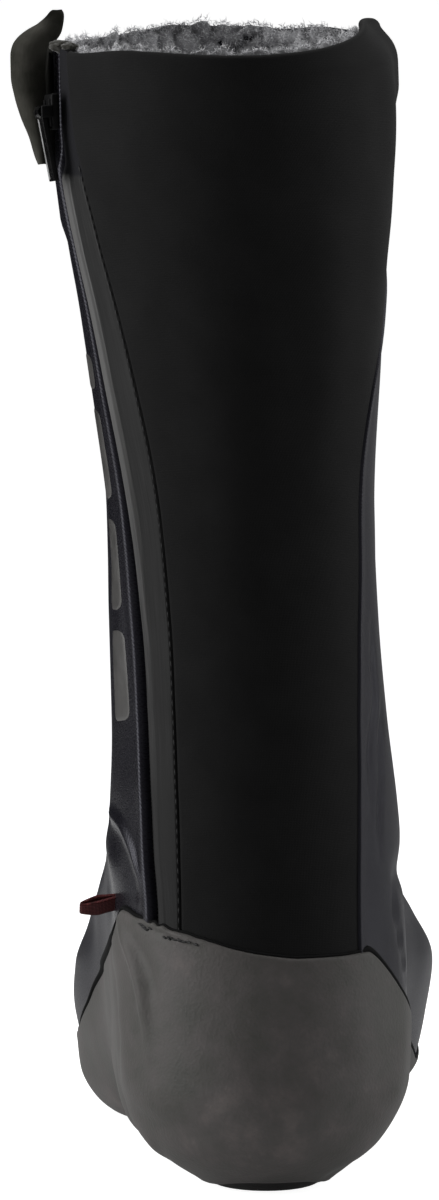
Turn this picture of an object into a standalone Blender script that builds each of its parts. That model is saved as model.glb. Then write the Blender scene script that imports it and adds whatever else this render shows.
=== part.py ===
import math
from collections import namedtuple

import bmesh
import bpy
import numpy as np
from mathutils import Matrix, Vector

for leftover in list(bpy.data.objects):
    bpy.data.objects.remove(leftover, do_unlink=True)

# Driving sizes in millimetres. Lengths run from the back of the heel, heights from the floor.
# The toe points to +Y, and the outer side of this left overshoe is -X.
MM = 0.001
GAP = 0.3
PLAN_CENTRE = (-7.7, 149.1)
WALL = 3.0
SOLE_THICK = 3.0
GUARD_THICK = 1.0
SKIN_GAP = 0.5
TAPE_THICK = 1.2
TAPE_WIDTH = 11.0

# One row for each girth of the shell, from the middle of the sole up to the collar. A girth's plane
# runs from its back point to its front point. Heel, waist and ball are half-breadths, and the caps
# are how much of the girth's length its rounded ends take.
Girth = namedtuple("Girth", "back back_z front front_z heel waist ball back_cap front_cap")
GIRTHS = {
    "sole middle": Girth(48.0, 0.0, 246.0, 0.0, 0.0, 0.0, 0.0, 20.0, 45.0),
    "sole flat": Girth(27.0, 0.0, 266.0, 0.0, 12.5, 18.0, 32.0, 17.0, 62.0),
    "feather": Girth(17.0, 4.6, 282.0, 5.5, 21.0, 27.0, 42.0, 24.0, 76.0),
    "bowl": Girth(5.5, 14.0, 294.0, 14.0, 32.5, 36.5, 52.0, 35.0, 88.0),
    "widest": Girth(0.0, 33.0, 300.0, 27.0, 41.5, 43.0, 55.5, 44.0, 96.0),
    "side": Girth(1.5, 54.0, 294.0, 44.0, 42.5, 44.0, 56.0, 46.0, 96.0),
    "toe crown": Girth(5.0, 76.0, 274.0, 58.0, 43.0, 44.0, 51.0, 46.0, 92.0),
    "vamp": Girth(8.0, 98.0, 238.0, 73.0, 43.0, 43.5, 44.0, 47.0, 84.0),
    "instep": Girth(10.5, 120.0, 194.0, 95.0, 42.5, 42.0, 39.5, 48.0, 72.0),
    "throat": Girth(12.5, 144.0, 152.0, 124.0, 41.5, 41.0, 39.5, 48.5, 62.0),
    "low shaft": Girth(13.0, 170.0, 123.0, 160.0, 41.0, 41.0, 40.5, 48.5, 55.0),
    "narrow": Girth(11.5, 200.0, 110.0, 198.0, 41.2, 41.2, 41.2, 49.0, 49.5),
    "calf": Girth(7.0, 243.0, 109.0, 244.0, 44.8, 44.8, 44.8, 51.0, 51.0),
    "high calf": Girth(1.5, 285.0, 112.5, 287.0, 49.5, 49.5, 49.5, 55.5, 55.5),
    "swell": Girth(-2.2, 315.0, 114.2, 317.0, 51.8, 51.8, 51.8, 58.2, 58.2),
    "collar": Girth(-3.2, 336.0, 115.0, 339.5, 51.5, 51.5, 51.5, 59.1, 59.1),
}
RISES = {name: float(step) for step, name in enumerate(GIRTHS)}
FEATHER = RISES["feather"]
COLLAR = RISES["collar"]

# Where the breadths apply along a girth, and how the two sides differ.
HEEL_AT = 0.18
WAIST_AT = 0.45
BALL_AT = 0.71
BALL_SKEW = 0.03
ARCH_INNER = 0.93

# The bottom lifts under the arch and towards the toe. The plan swings inwards at the toe, the shaft
# leans outwards, and the collar stands higher at its sides.
ARCH_FROM = 80.0
ARCH_TO = 172.0
ARCH_LIFT = 3.5
SPRING_FROM = 228.0
SPRING_RUN = 72.0
SPRING_LIFT = 12.0
LIFT_FADE = 6.0
SWING_FROM = 90.0
SWING_RUN = 210.0
SWING = 11.0
LEAN_FROM = 45.0
LEAN_RUN = 283.0
LEAN = 10.0
COLLAR_WAVE = 5.2
WAVE_ROWS = 3.0
COLLAR_DIP = 7.2  # the collar is lower beside the zip
DIP_TURN = 0.2
DIP_SPREAD = 0.1

# The guard's top edge goes round the foot from the back, past the outer side.
GuardEdge = namedtuple("GuardEdge", "turn height")
GUARD_EDGE = (
    GuardEdge(-0.05, 70.8),
    GuardEdge(-0.036, 71.6),
    GuardEdge(0.0, 72.2),
    GuardEdge(0.0125, 72.6),
    GuardEdge(0.0244, 74.2),
    GuardEdge(0.0356, 76.7),
    GuardEdge(0.0456, 79.0),
    GuardEdge(0.06, 81.0),
    GuardEdge(0.08, 82.0),
    GuardEdge(0.097, 79.5),
    GuardEdge(0.12, 74.0),
    GuardEdge(0.175, 62.7),
    GuardEdge(0.22, 54.5),
    GuardEdge(0.26, 46.2),
    GuardEdge(0.28, 39.0),
    GuardEdge(0.3, 31.0),
    GuardEdge(0.34, 25.5),
    GuardEdge(0.4, 26.0),
    GuardEdge(0.5, 36.0),
    GuardEdge(0.6, 26.0),
    GuardEdge(0.66, 25.0),
    GuardEdge(0.7, 28.5),
    GuardEdge(0.76, 34.0),
    GuardEdge(0.84, 41.0),
    GuardEdge(0.9, 48.5),
    GuardEdge(0.9206, 55.0),
    GuardEdge(0.935, 63.0),
    GuardEdge(0.95, 70.8),
    GuardEdge(0.964, 71.6),
    GuardEdge(1.0, 72.2),
)
GUARD_FOOT = FEATHER + 0.12

# The zip's middle line, as degrees round the back cap towards the outer side.
ZipLine = namedtuple("ZipLine", "height bearing")
ZIP_LINE = (
    ZipLine(81.0, 40.5),
    ZipLine(120.0, 41.5),
    ZipLine(169.0, 44.0),
    ZipLine(216.0, 50.0),
    ZipLine(263.0, 59.0),
    ZipLine(300.0, 67.0),
    ZipLine(340.0, 71.0),
)
ZIP_FOOT = 84.5
ZIP_HEAD = 333.5

# Slider and pull, seated on the strip's front edge, where the zip closes: across, along and out from it.
SLIDER_HEIGHT = 318.0
SLIDER_ACROSS = 5.0
SLIDER_BODY = (8.4, 10.5, 2.6)
EAR = (1.2, 3.6, 4.6)
EAR_SINK = 1.0
PIN_RADIUS = 0.8
EYE_RADIUS = 1.9
EYE_BORE = 1.15
PULL_WIDTH = 5.2
PULL_LENGTH = 22.0
PULL_THICK = 1.7
PULL_LEAN = 8.0
PULL_SINK = 0.6
SIDE_PLAY = 0.35

# The flap stands out from the wall beside the zip, from its foot up past the collar.
FLAP_FOOT = 299.0
FLAP_HEAD = 348.0
FLAP_REACH = 13.2
FLAP_THICK = 2.0
FLAP_BESIDE = 14.0
FLAP_PEAK_POWER = 2.1
FLAP_ROUND_POWER = 0.6
FLAP_ROOT = 1.6
FLAP_CUP = 3.0

# The folded tape loop at the guard's outer corner.
LOOP_TURN = 0.125
LOOP_HEIGHT = 82.5
LOOP_REACH = 10.5
LOOP_HALF_GAP = 1.9
LOOP_TAPE = 0.9
LOOP_WIDTH = 9.0
LOOP_ROOT_SHARE = 0.6

# The cleat window under the ball of the foot.
WINDOW_AT = 203.0
WINDOW_LENGTH = 72.0
WINDOW_WIDTH = 40.0
WINDOW_CORNER = 13.0
WINDOW_DEPTH = 40.0

# Mesh steps.
TURN_STEPS = 52
TURN_CROWD = 0.42
FOOT_STEPS = 3
SHAFT_ROWS = 13
SOLE_STEPS = 5
GUARD_STEPS = 12
TAPE_STEPS = 28
TAPE_ACROSS_STEPS = 4
FLAP_STEPS = (14, 4)
ROD_SIDES = 20
TURN_NUDGE = 0.001
RISE_NUDGE = 0.01


# Smooth curves and the shell's own function.

def fair(knots, values, at):
    # A smooth curve through a table's rows that never overshoots them.
    knots = np.asarray(knots, float)
    values = np.asarray(values, float)
    step = np.diff(knots)
    rate = np.diff(values) / step
    product = rate[:-1] * rate[1:]
    total = np.where(product > 0.0, rate[:-1] + rate[1:], 1.0)
    middle = np.where(product > 0.0, 2.0 * product / total, 0.0)
    slope = np.concatenate((rate[:1], middle, rate[-1:]))
    row = np.clip(np.searchsorted(knots, at, side="right") - 1, 0, len(step) - 1)
    part = (at - knots[row]) / step[row]
    rest = 1.0 - part
    start = values[row] * rest * rest * (1.0 + 2.0 * part)
    end = values[row + 1] * part * part * (3.0 - 2.0 * part)
    return start + end + step[row] * part * rest * (slope[row] * rest - slope[row + 1] * part)


def smooth(value):
    value = np.clip(value, 0.0, 1.0)
    return value * value * (3.0 - 2.0 * value)


def girth_at(rise):
    columns = zip(*GIRTHS.values())
    return Girth(*(fair(range(len(GIRTHS)), column, rise) for column in columns))


def girth_lengths(girth):
    # Back cap, straight run and front cap, along half a girth.
    chord = np.hypot(girth.front - girth.back, girth.front_z - girth.back_z)
    back = math.pi * (girth.back_cap + girth.heel) / 4.0
    front = math.pi * (girth.front_cap + girth.ball) / 4.0
    run = np.maximum(chord - girth.back_cap - girth.front_cap, 0.0)
    return chord, back, run, front


def bottom_lift(length):
    arch = np.clip((length - ARCH_FROM) / (ARCH_TO - ARCH_FROM), 0.0, 1.0)
    spring = np.maximum(length - SPRING_FROM, 0.0) / SPRING_RUN
    return ARCH_LIFT * np.sin(math.pi * arch) ** 2 + SPRING_LIFT * spring ** 2


def bare_shell(turn, rise):
    # Turn goes once round a girth from the back, past the outer side. Rise counts the girth rows.
    turn, rise = np.broadcast_arrays(np.asarray(turn, float), np.asarray(rise, float))
    turn = turn % 1.0
    girth = girth_at(rise)
    chord, back, run, front = girth_lengths(girth)
    inner = turn > 0.5
    going = 2.0 * np.where(inner, 1.0 - turn, turn) * (back + run + front)
    from_front = back + run + front - going
    back_angle = 0.5 * math.pi * np.clip(going / back, 0.0, 1.0)
    front_angle = 0.5 * math.pi * np.clip(from_front / front, 0.0, 1.0)
    straight = np.clip(going - back, 0.0, run)
    along = girth.back_cap * (1.0 - np.cos(back_angle)) + straight
    along = np.where(going > back + run, chord - girth.front_cap * (1.0 - np.cos(front_angle)), along)
    cap = np.sin(back_angle) * np.sin(front_angle)
    share = along / chord
    ball_at = BALL_AT + np.where(inner, BALL_SKEW, -BALL_SKEW)
    waist = girth.waist * np.where(inner, ARCH_INNER, 1.0)
    half = girth.heel + (waist - girth.heel) * smooth((share - HEEL_AT) / (WAIST_AT - HEEL_AT))
    half = half + (girth.ball - waist) * smooth((share - WAIST_AT) / (ball_at - WAIST_AT))
    y = girth.back + (girth.front - girth.back) * share
    dip = COLLAR_DIP * np.exp(-(((turn - DIP_TURN) / DIP_SPREAD) ** 2))
    wave = COLLAR_WAVE * 4.0 * share * (1.0 - share) - dip
    wave = wave * smooth(1.0 - (COLLAR - rise) / WAVE_ROWS)
    lift = bottom_lift(y) * np.clip(1.0 - (rise - 1.0) / LIFT_FADE, 0.0, 1.0)
    z = girth.back_z + (girth.front_z - girth.back_z) * share + lift + wave
    swing = SWING * (np.maximum(y - SWING_FROM, 0.0) / SWING_RUN) ** 2
    lean = LEAN * np.maximum(z - LEAN_FROM, 0.0) / LEAN_RUN
    x = swing - lean + half * cap * np.where(inner, 1.0, -1.0)
    return np.stack((x, y, z), axis=-1)


def shell_normal(turn, rise):
    around = bare_shell(turn + TURN_NUDGE, rise) - bare_shell(turn - TURN_NUDGE, rise)
    upward = bare_shell(turn, rise + RISE_NUDGE) - bare_shell(turn, rise - RISE_NUDGE)
    normal = np.cross(upward, around)
    return normal / np.linalg.norm(normal, axis=-1, keepdims=True)


def shell(turn, rise, out=0.0):
    return bare_shell(turn, rise) + out * shell_normal(turn, rise)


def rise_at(height, turn_of):
    # The rise at which the line turn_of(rise) reaches a height, found by halving.
    low = np.full(np.shape(height), FEATHER)
    high = np.full(np.shape(height), COLLAR + 0.5)
    for _ in range(40):
        middle = 0.5 * (low + high)
        above = bare_shell(turn_of(middle), middle)[..., 2] > height
        high = np.where(above, middle, high)
        low = np.where(above, low, middle)
    return 0.5 * (low + high)


def bearing_turn(bearing, rise):
    chord, back, run, front = girth_lengths(girth_at(rise))
    return bearing / 90.0 * back / (2.0 * (back + run + front))


def zip_point(height, across, out):
    # A point on the zip: across is measured round the girth, towards the front.
    height = np.asarray(height, float)
    bearing = fair([row.height for row in ZIP_LINE], [row.bearing for row in ZIP_LINE], height)
    rise = rise_at(height, lambda level: bearing_turn(bearing, level))
    chord, back, run, front = girth_lengths(girth_at(rise))
    turn = bearing_turn(bearing, rise) + across / (2.0 * (back + run + front))
    return shell(turn, rise, out)


def guard_top(turn):
    height = fair([row.turn for row in GUARD_EDGE], [row.height for row in GUARD_EDGE], turn % 1.0)
    return rise_at(height, lambda level: turn)


# Scene helpers.

def metres(point):
    x, y, z = (float(value) for value in point)
    return Vector(((x - PLAN_CENTRE[0]) * MM, (y - PLAN_CENTRE[1]) * MM, z * MM))


parts = bpy.data.collections.new("overshoe")
cutters = bpy.data.collections.new("cutters")
for collection in (parts, cutters):
    bpy.context.scene.collection.children.link(collection)


def finish(name, colour, roughness):
    material = bpy.data.materials.new(name)
    material.use_nodes = True
    shader = material.node_tree.nodes["Principled BSDF"]
    shader.inputs["Base Color"].default_value = (*colour, 1.0)
    shader.inputs["Roughness"].default_value = roughness
    return material


SOFTSHELL = finish("softshell", (0.012, 0.012, 0.013), 0.75)
RUBBER = finish("sole_rubber", (0.010, 0.010, 0.010), 0.7)
RAND = finish("rand", (0.055, 0.053, 0.051), 0.55)
TAPE = finish("zip_tape", (0.045, 0.045, 0.047), 0.45)
GLOSS = finish("zip_black", (0.010, 0.010, 0.010), 0.2)
FLAP = finish("flap_cloth", (0.015, 0.015, 0.013), 0.85)
RED_TAPE = finish("red_tape", (0.070, 0.012, 0.014), 0.8)


def add_object(name, mesh, material, collection=parts):
    item = bpy.data.objects.new(name, mesh)
    if material:
        mesh.materials.append(material)
    collection.objects.link(item)
    return item


def grid_object(name, place, steps, closed, material):
    # A grid of rise by turn whose points are moved onto a surface. A closed one is welded round.
    mesh = bpy.data.meshes.new(name)
    net = bmesh.new()
    bmesh.ops.create_grid(net, x_segments=steps[0], y_segments=steps[1], size=0.5)
    places = np.array([vertex.co for vertex in net.verts]) + 0.5
    for vertex, point in zip(net.verts, place(places[:, 0], places[:, 1])):
        vertex.co = metres(point)
    if closed:
        bmesh.ops.remove_doubles(net, verts=net.verts, dist=1e-6)
    net.to_mesh(mesh)
    net.free()
    mesh.shade_smooth()
    return add_object(name, mesh, material)


def thicken(item, thickness, side):
    skin = item.modifiers.new("thickness", "SOLIDIFY")
    skin.thickness = thickness * MM
    skin.offset = side
    skin.use_even_offset = True
    skin.use_quality_normals = True


def crowded(share):
    # Steps round a girth lie closer at the heel and toe.
    return share - TURN_CROWD * np.sin(4.0 * math.pi * share) / (4.0 * math.pi)


def combine(item, tool, operation):
    change = item.modifiers.new(tool.name, "BOOLEAN")
    change.operation = operation
    change.object = tool
    tool.hide_render = True
    tool.display_type = "WIRE"


def block(name, size, centre, material, collection, round_off=0.0):
    mesh = bpy.data.meshes.new(name)
    net = bmesh.new()
    bmesh.ops.create_cube(net, size=MM)
    bmesh.ops.scale(net, vec=size, verts=net.verts)
    bmesh.ops.translate(net, vec=Vector(centre) * MM, verts=net.verts)
    if round_off:
        bmesh.ops.bevel(net, geom=net.edges, offset=round_off * MM, segments=2, profile=0.5, affect="EDGES")
    net.to_mesh(mesh)
    net.free()
    return add_object(name, mesh, material, collection)


def cross_rod(name, radius, width, centre, material, collection):
    # A round rod that lies across the zip.
    mesh = bpy.data.meshes.new(name)
    net = bmesh.new()
    bmesh.ops.create_cone(
        net, segments=ROD_SIDES, radius1=radius * MM, radius2=radius * MM, depth=width * MM, cap_ends=True
    )
    bmesh.ops.rotate(net, cent=(0, 0, 0), matrix=Matrix.Rotation(0.5 * math.pi, 3, "Y"), verts=net.verts)
    bmesh.ops.translate(net, vec=Vector(centre) * MM, verts=net.verts)
    net.to_mesh(mesh)
    net.free()
    return add_object(name, mesh, material, collection)


# The upper: one wall from the feather edge to the collar.

def make_upper():
    foot_rows = np.arange(FEATHER, RISES["instep"], 1.0 / FOOT_STEPS)
    shaft_rows = np.linspace(RISES["instep"], COLLAR, SHAFT_ROWS)
    rows = np.concatenate((foot_rows, shaft_rows))

    def place(share, turn):
        rise = rows[np.rint(share * (len(rows) - 1)).astype(int)]
        return bare_shell(crowded(turn), rise)

    upper = grid_object("upper", place, (len(rows) - 1, TURN_STEPS), True, SOFTSHELL)
    thicken(upper, WALL, -1.0)


# The sole: a panel with the cleat window, inside the feather edge.

def make_sole():
    edge = np.linalg.norm(bare_shell(0.25, FEATHER) - bare_shell(0.25, FEATHER - 0.1)) / 0.1
    top = FEATHER - GAP / edge
    sole = grid_object(
        "sole",
        lambda share, turn: bare_shell(crowded(turn), share * top),
        (SOLE_STEPS, TURN_STEPS),
        True,
        RUBBER,
    )
    thicken(sole, SOLE_THICK, -1.0)
    window = block(
        "cleat_window", (WINDOW_WIDTH, WINDOW_LENGTH, WINDOW_DEPTH), (0.0, 0.0, 0.0), None, cutters
    )
    rounding = bmesh.new()
    rounding.from_mesh(window.data)
    uprights = [edge for edge in rounding.edges if abs(edge.verts[0].co.z - edge.verts[1].co.z) > MM]
    bmesh.ops.bevel(
        rounding, geom=uprights, offset=WINDOW_CORNER * MM, segments=5, profile=0.5, affect="EDGES"
    )
    rounding.to_mesh(window.data)
    rounding.free()
    swing = SWING * ((WINDOW_AT - SWING_FROM) / SWING_RUN) ** 2
    window.location = metres((swing, WINDOW_AT, 0.0))
    combine(sole, window, "DIFFERENCE")


# The heel guard: a band just outside the upper, from the feather edge to its own top edge.

def make_guard():
    def place(share, turn):
        # Its low rows follow the girths, and the higher ones turn to the top edge.
        around = crowded(turn)
        level = GUARD_FOOT + share * (RISES["side"] - GUARD_FOOT)
        return shell(around, level + share ** 2 * (guard_top(around) - RISES["side"]), SKIN_GAP)

    guard = grid_object("heel_guard", place, (GUARD_STEPS, TURN_STEPS), True, RAND)
    thicken(guard, GUARD_THICK, 1.0)


# The zip: its tape, slider and hanging pull.

def make_tape():
    def place(share, side):
        height = ZIP_FOOT + share * (ZIP_HEAD - ZIP_FOOT)
        return zip_point(height, (side - 0.5) * TAPE_WIDTH, SKIN_GAP)

    tape = grid_object("zip_tape", place, (TAPE_STEPS, TAPE_ACROSS_STEPS), False, TAPE)
    thicken(tape, TAPE_THICK, 1.0)


def zip_seat():
    # An empty on the tape's face: its X goes across the zip, its Y up it and its Z outwards.
    face = SKIN_GAP + TAPE_THICK + GAP
    centre = zip_point(SLIDER_HEIGHT, SLIDER_ACROSS, face)
    above = zip_point(SLIDER_HEIGHT + 4.0, SLIDER_ACROSS, face)
    up = Vector(above - zip_point(SLIDER_HEIGHT - 4.0, SLIDER_ACROSS, face))
    out = Vector(zip_point(SLIDER_HEIGHT, SLIDER_ACROSS, face + 1.0) - centre).normalized()
    across = up.cross(out).normalized()
    along = out.cross(across)
    turn = Matrix((across, along, out)).transposed().to_4x4()
    seat = bpy.data.objects.new("zip_seat", None)
    parts.objects.link(seat)
    seat.matrix_world = Matrix.Translation(metres(centre)) @ turn
    return seat


def make_slider_and_pull(seat):
    pin_out = SLIDER_BODY[2] + GAP + EYE_RADIUS
    ear_at = 0.5 * PULL_WIDTH + SIDE_PLAY + 0.5 * EAR[0]
    slider = block(
        "zip_slider", SLIDER_BODY, (0.0, 0.0, 0.5 * SLIDER_BODY[2]), GLOSS, parts, round_off=0.5
    )
    tools = [cross_rod("slider_pin", PIN_RADIUS, 2.0 * ear_at, (0.0, 0.0, pin_out), None, cutters)]
    for side in (-1.0, 1.0):
        ear_centre = (side * ear_at, 0.0, SLIDER_BODY[2] + 0.5 * EAR[2] - EAR_SINK)
        tools.append(block(f"slider_ear_{int(side)}", EAR, ear_centre, None, cutters))
    for tool in tools:
        combine(slider, tool, "UNION")

    # The pull's origin is the pin's axis. It hangs down from there and leans towards the tape.
    pull = block(
        "zip_pull",
        (PULL_WIDTH, PULL_LENGTH - EYE_RADIUS, PULL_THICK),
        (0.0, PULL_SINK - 0.5 * (PULL_LENGTH + EYE_RADIUS), 0.0),
        GLOSS,
        parts,
        round_off=0.5,
    )
    eye = cross_rod("pull_eye", EYE_RADIUS, PULL_WIDTH, (0.0, 0.0, 0.0), None, cutters)
    bore = cross_rod("pull_bore", EYE_BORE, 2.0 * PULL_WIDTH, (0.0, 0.0, 0.0), None, cutters)
    combine(pull, eye, "UNION")
    combine(pull, bore, "DIFFERENCE")
    for item in (slider, *tools):
        item.parent = seat
    for item in (pull, eye, bore):
        item.parent = seat
        item.location = (0.0, 0.0, pin_out * MM)
        item.rotation_euler.x = math.radians(PULL_LEAN)


# The flap: a leaf that stands out beside the zip.

def make_flap():
    def place(share, reach):
        height = FLAP_FOOT + share * (FLAP_HEAD - FLAP_FOOT)
        root = zip_point(np.minimum(height, ZIP_HEAD), FLAP_BESIDE, GAP)
        root[:, 2] = height
        swell = np.sin(math.pi * share ** FLAP_PEAK_POWER) ** FLAP_ROUND_POWER
        out = reach * (FLAP_ROOT + (FLAP_REACH - FLAP_ROOT) * swell)
        cup = FLAP_CUP * (out / FLAP_REACH) ** 2
        return root + np.stack((-out, cup, np.zeros_like(out)), axis=-1)

    flap = grid_object("zip_flap", place, FLAP_STEPS, False, FLAP)
    thicken(flap, FLAP_THICK, 1.0)


# The loop: tape folded on itself, with both ends at the wall.

def make_loop():
    root = shell(LOOP_TURN, rise_at(LOOP_HEIGHT, lambda level: LOOP_TURN), GAP)
    outline = bpy.data.curves.new("tag_loop", "CURVE")
    outline.dimensions = "2D"
    outline.fill_mode = "BOTH"
    outline.extrude = 0.5 * LOOP_WIDTH * MM
    outline.resolution_u = 6
    for inset in (0.0, LOOP_TAPE):
        half = LOOP_HALF_GAP + LOOP_TAPE - inset
        far = LOOP_REACH - inset
        spline = outline.splines.new("BEZIER")
        spline.bezier_points.add(3)
        corners = ((inset, LOOP_ROOT_SHARE * half), (far - half, half), (far, 0.0), (far - half, -half))
        for point, corner in zip(spline.bezier_points, corners):
            point.co = Vector((*corner, 0.0)) * MM
            point.handle_left_type = "AUTO"
            point.handle_right_type = "AUTO"
        spline.use_cyclic_u = True
    loop = bpy.data.objects.new("tag_loop", outline)
    outline.materials.append(RED_TAPE)
    parts.objects.link(loop)
    stand = Matrix(((-1.0, 0.0, 0.0), (0.0, 0.0, 1.0), (0.0, 1.0, 0.0))).to_4x4()
    loop.matrix_world = Matrix.Translation(metres(root)) @ stand


make_upper()
make_sole()
make_guard()
make_tape()
make_slider_and_pull(zip_seat())
make_flap()
make_loop()
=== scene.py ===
import math

import bmesh
import bpy
import numpy as np
from mathutils import Matrix, Vector
from mathutils import noise as fieldNoise

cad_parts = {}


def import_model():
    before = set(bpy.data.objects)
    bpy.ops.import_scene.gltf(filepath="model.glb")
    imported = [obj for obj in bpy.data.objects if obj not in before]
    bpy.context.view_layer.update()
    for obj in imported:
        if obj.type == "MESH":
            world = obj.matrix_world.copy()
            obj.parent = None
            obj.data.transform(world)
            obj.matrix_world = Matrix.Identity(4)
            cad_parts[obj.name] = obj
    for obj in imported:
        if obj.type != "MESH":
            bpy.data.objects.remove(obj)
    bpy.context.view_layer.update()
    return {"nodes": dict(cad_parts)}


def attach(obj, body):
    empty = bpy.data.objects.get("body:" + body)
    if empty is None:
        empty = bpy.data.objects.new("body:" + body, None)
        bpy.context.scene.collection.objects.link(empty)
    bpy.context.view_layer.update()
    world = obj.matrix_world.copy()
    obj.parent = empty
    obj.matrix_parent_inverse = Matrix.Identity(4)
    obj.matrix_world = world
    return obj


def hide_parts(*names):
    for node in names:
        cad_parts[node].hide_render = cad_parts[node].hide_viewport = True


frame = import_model()
print("frame loaded:", ", ".join(sorted(frame["nodes"])))

mm = 0.001
planCentre = np.array((-7.7, 149.1, 0.0))  # millimetres from the back of the heel
dice = np.random.default_rng(618)

# The last: one row for each girth, from the middle of the sole up to the collar.
# Columns: back, backZ, front, frontZ, heel, waist, ball, backCap, frontCap.
lastGirths = (
    (48.0, 0.0, 246.0, 0.0, 0.0, 0.0, 0.0, 20.0, 45.0),  # sole middle
    (27.0, 0.0, 266.0, 0.0, 12.5, 18.0, 32.0, 17.0, 62.0),  # sole flat
    (17.0, 4.6, 282.0, 5.5, 21.0, 27.0, 42.0, 24.0, 76.0),  # feather
    (5.5, 14.0, 294.0, 14.0, 32.5, 36.5, 52.0, 35.0, 88.0),  # bowl
    (0.0, 33.0, 300.0, 27.0, 41.5, 43.0, 55.5, 44.0, 96.0),  # widest
    (1.5, 54.0, 294.0, 44.0, 42.5, 44.0, 56.0, 46.0, 96.0),  # side
    (5.0, 76.0, 274.0, 58.0, 43.0, 44.0, 51.0, 46.0, 92.0),  # toe crown
    (8.0, 98.0, 238.0, 73.0, 43.0, 43.5, 44.0, 47.0, 84.0),  # vamp
    (10.5, 120.0, 194.0, 95.0, 42.5, 42.0, 39.5, 48.0, 72.0),  # instep
    (12.5, 144.0, 152.0, 124.0, 41.5, 41.0, 39.5, 48.5, 62.0),  # throat
    (13.0, 170.0, 123.0, 160.0, 41.0, 41.0, 40.5, 48.5, 55.0),  # low shaft
    (11.5, 200.0, 110.0, 198.0, 41.2, 41.2, 41.2, 49.0, 49.5),  # narrow
    (7.0, 243.0, 109.0, 244.0, 44.8, 44.8, 44.8, 51.0, 51.0),  # calf
    (1.5, 285.0, 112.5, 287.0, 49.5, 49.5, 49.5, 55.5, 55.5),  # high calf
    (-2.2, 315.0, 114.2, 317.0, 51.8, 51.8, 51.8, 58.2, 58.2),  # swell
    (-3.2, 336.0, 115.0, 339.5, 51.5, 51.5, 51.5, 59.1, 59.1),  # collar
)
featherRise, collarRise = 2.0, 15.0
last = {
    "heelAt": 0.18, "waistAt": 0.45, "ballAt": 0.71, "ballSkew": 0.03, "archInner": 0.93,
    "archFrom": 80.0, "archTo": 172.0, "archLift": 3.5,
    "springFrom": 228.0, "springRun": 72.0, "springLift": 12.0, "liftFade": 6.0,
    "swingFrom": 90.0, "swingRun": 210.0, "swing": 11.0,
    "leanFrom": 45.0, "leanRun": 283.0, "lean": 10.0,
    "collarWave": 5.2, "waveRows": 3.0,
    # turns and how far the hem lies off the even wave there
    "hem": (
        (0.0, 0.0), (0.05, -0.2), (0.10, -1.1), (0.19, -5.6), (0.25, -5.6), (0.32, -5.2), (0.37, -3.4),
        (0.40, -1.9),
        (0.43, 0.2), (0.455, 1.7), (0.53, 1.5), (0.56, 0.3), (0.60, 0.2), (0.635, -1.3), (0.665, -1.9),
        (0.70, -1.2),
        (0.74, 0.0), (1.0, 0.0),
    ),
}
# The inner top of the collar curls in over the opening.
collarCurl = {"turn": 0.785, "spread": 0.085, "span": (14.42, 0.58), "inward": 7.6, "lift": 2.8}
probe = {"turn": 0.001, "rise": 0.01, "halvings": 26}
creaseShape = {"spanPoints": 8, "reach": 3.0, "fade": 0.28, "ends": 0.25}
clothHum = {"height": 0.16, "size": 26.0, "seed": 5}


def fair(knots, values, at):
    # a smooth curve through a table's rows that never overshoots them
    knots = np.asarray(knots, float)
    values = np.asarray(values, float)
    step = np.diff(knots)
    rate = np.diff(values) / step
    product = rate[:-1] * rate[1:]
    total = np.where(product > 0.0, rate[:-1] + rate[1:], 1.0)
    middle = np.where(product > 0.0, 2.0 * product / total, 0.0)
    slope = np.concatenate((rate[:1], middle, rate[-1:]))
    row = np.clip(np.searchsorted(knots, at, side="right") - 1, 0, len(step) - 1)
    part = (at - knots[row]) / step[row]
    rest = 1.0 - part
    start = values[row] * rest * rest * (1.0 + 2.0 * part)
    end = values[row + 1] * part * part * (3.0 - 2.0 * part)
    return start + end + step[row] * part * rest * (slope[row] * rest - slope[row + 1] * part)


def smooth(value):
    value = np.clip(value, 0.0, 1.0)
    return value * value * (3.0 - 2.0 * value)


def climb(value, start, run):
    # 0 before the start, 1 after the run
    return smooth((value - start) / run)


def hump(value, centre, width, power=2):
    return np.exp(-((value - centre) / width) ** power)


def girthAt(rise):
    return [fair(range(len(lastGirths)), column, rise) for column in zip(*lastGirths)]


def girthLengths(rise):
    # chord, back cap, straight run and front cap of half a girth
    back, backZ, front, frontZ, heel, waist, ball, backCap, frontCap = girthAt(rise)
    chord = np.hypot(front - back, frontZ - backZ)
    run = np.maximum(chord - backCap - frontCap, 0.0)
    return chord, math.pi * (backCap + heel) / 4.0, run, math.pi * (frontCap + ball) / 4.0


def girthLength(rise):
    chord, back, run, front = girthLengths(rise)
    return 2.0 * (back + run + front)


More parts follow.
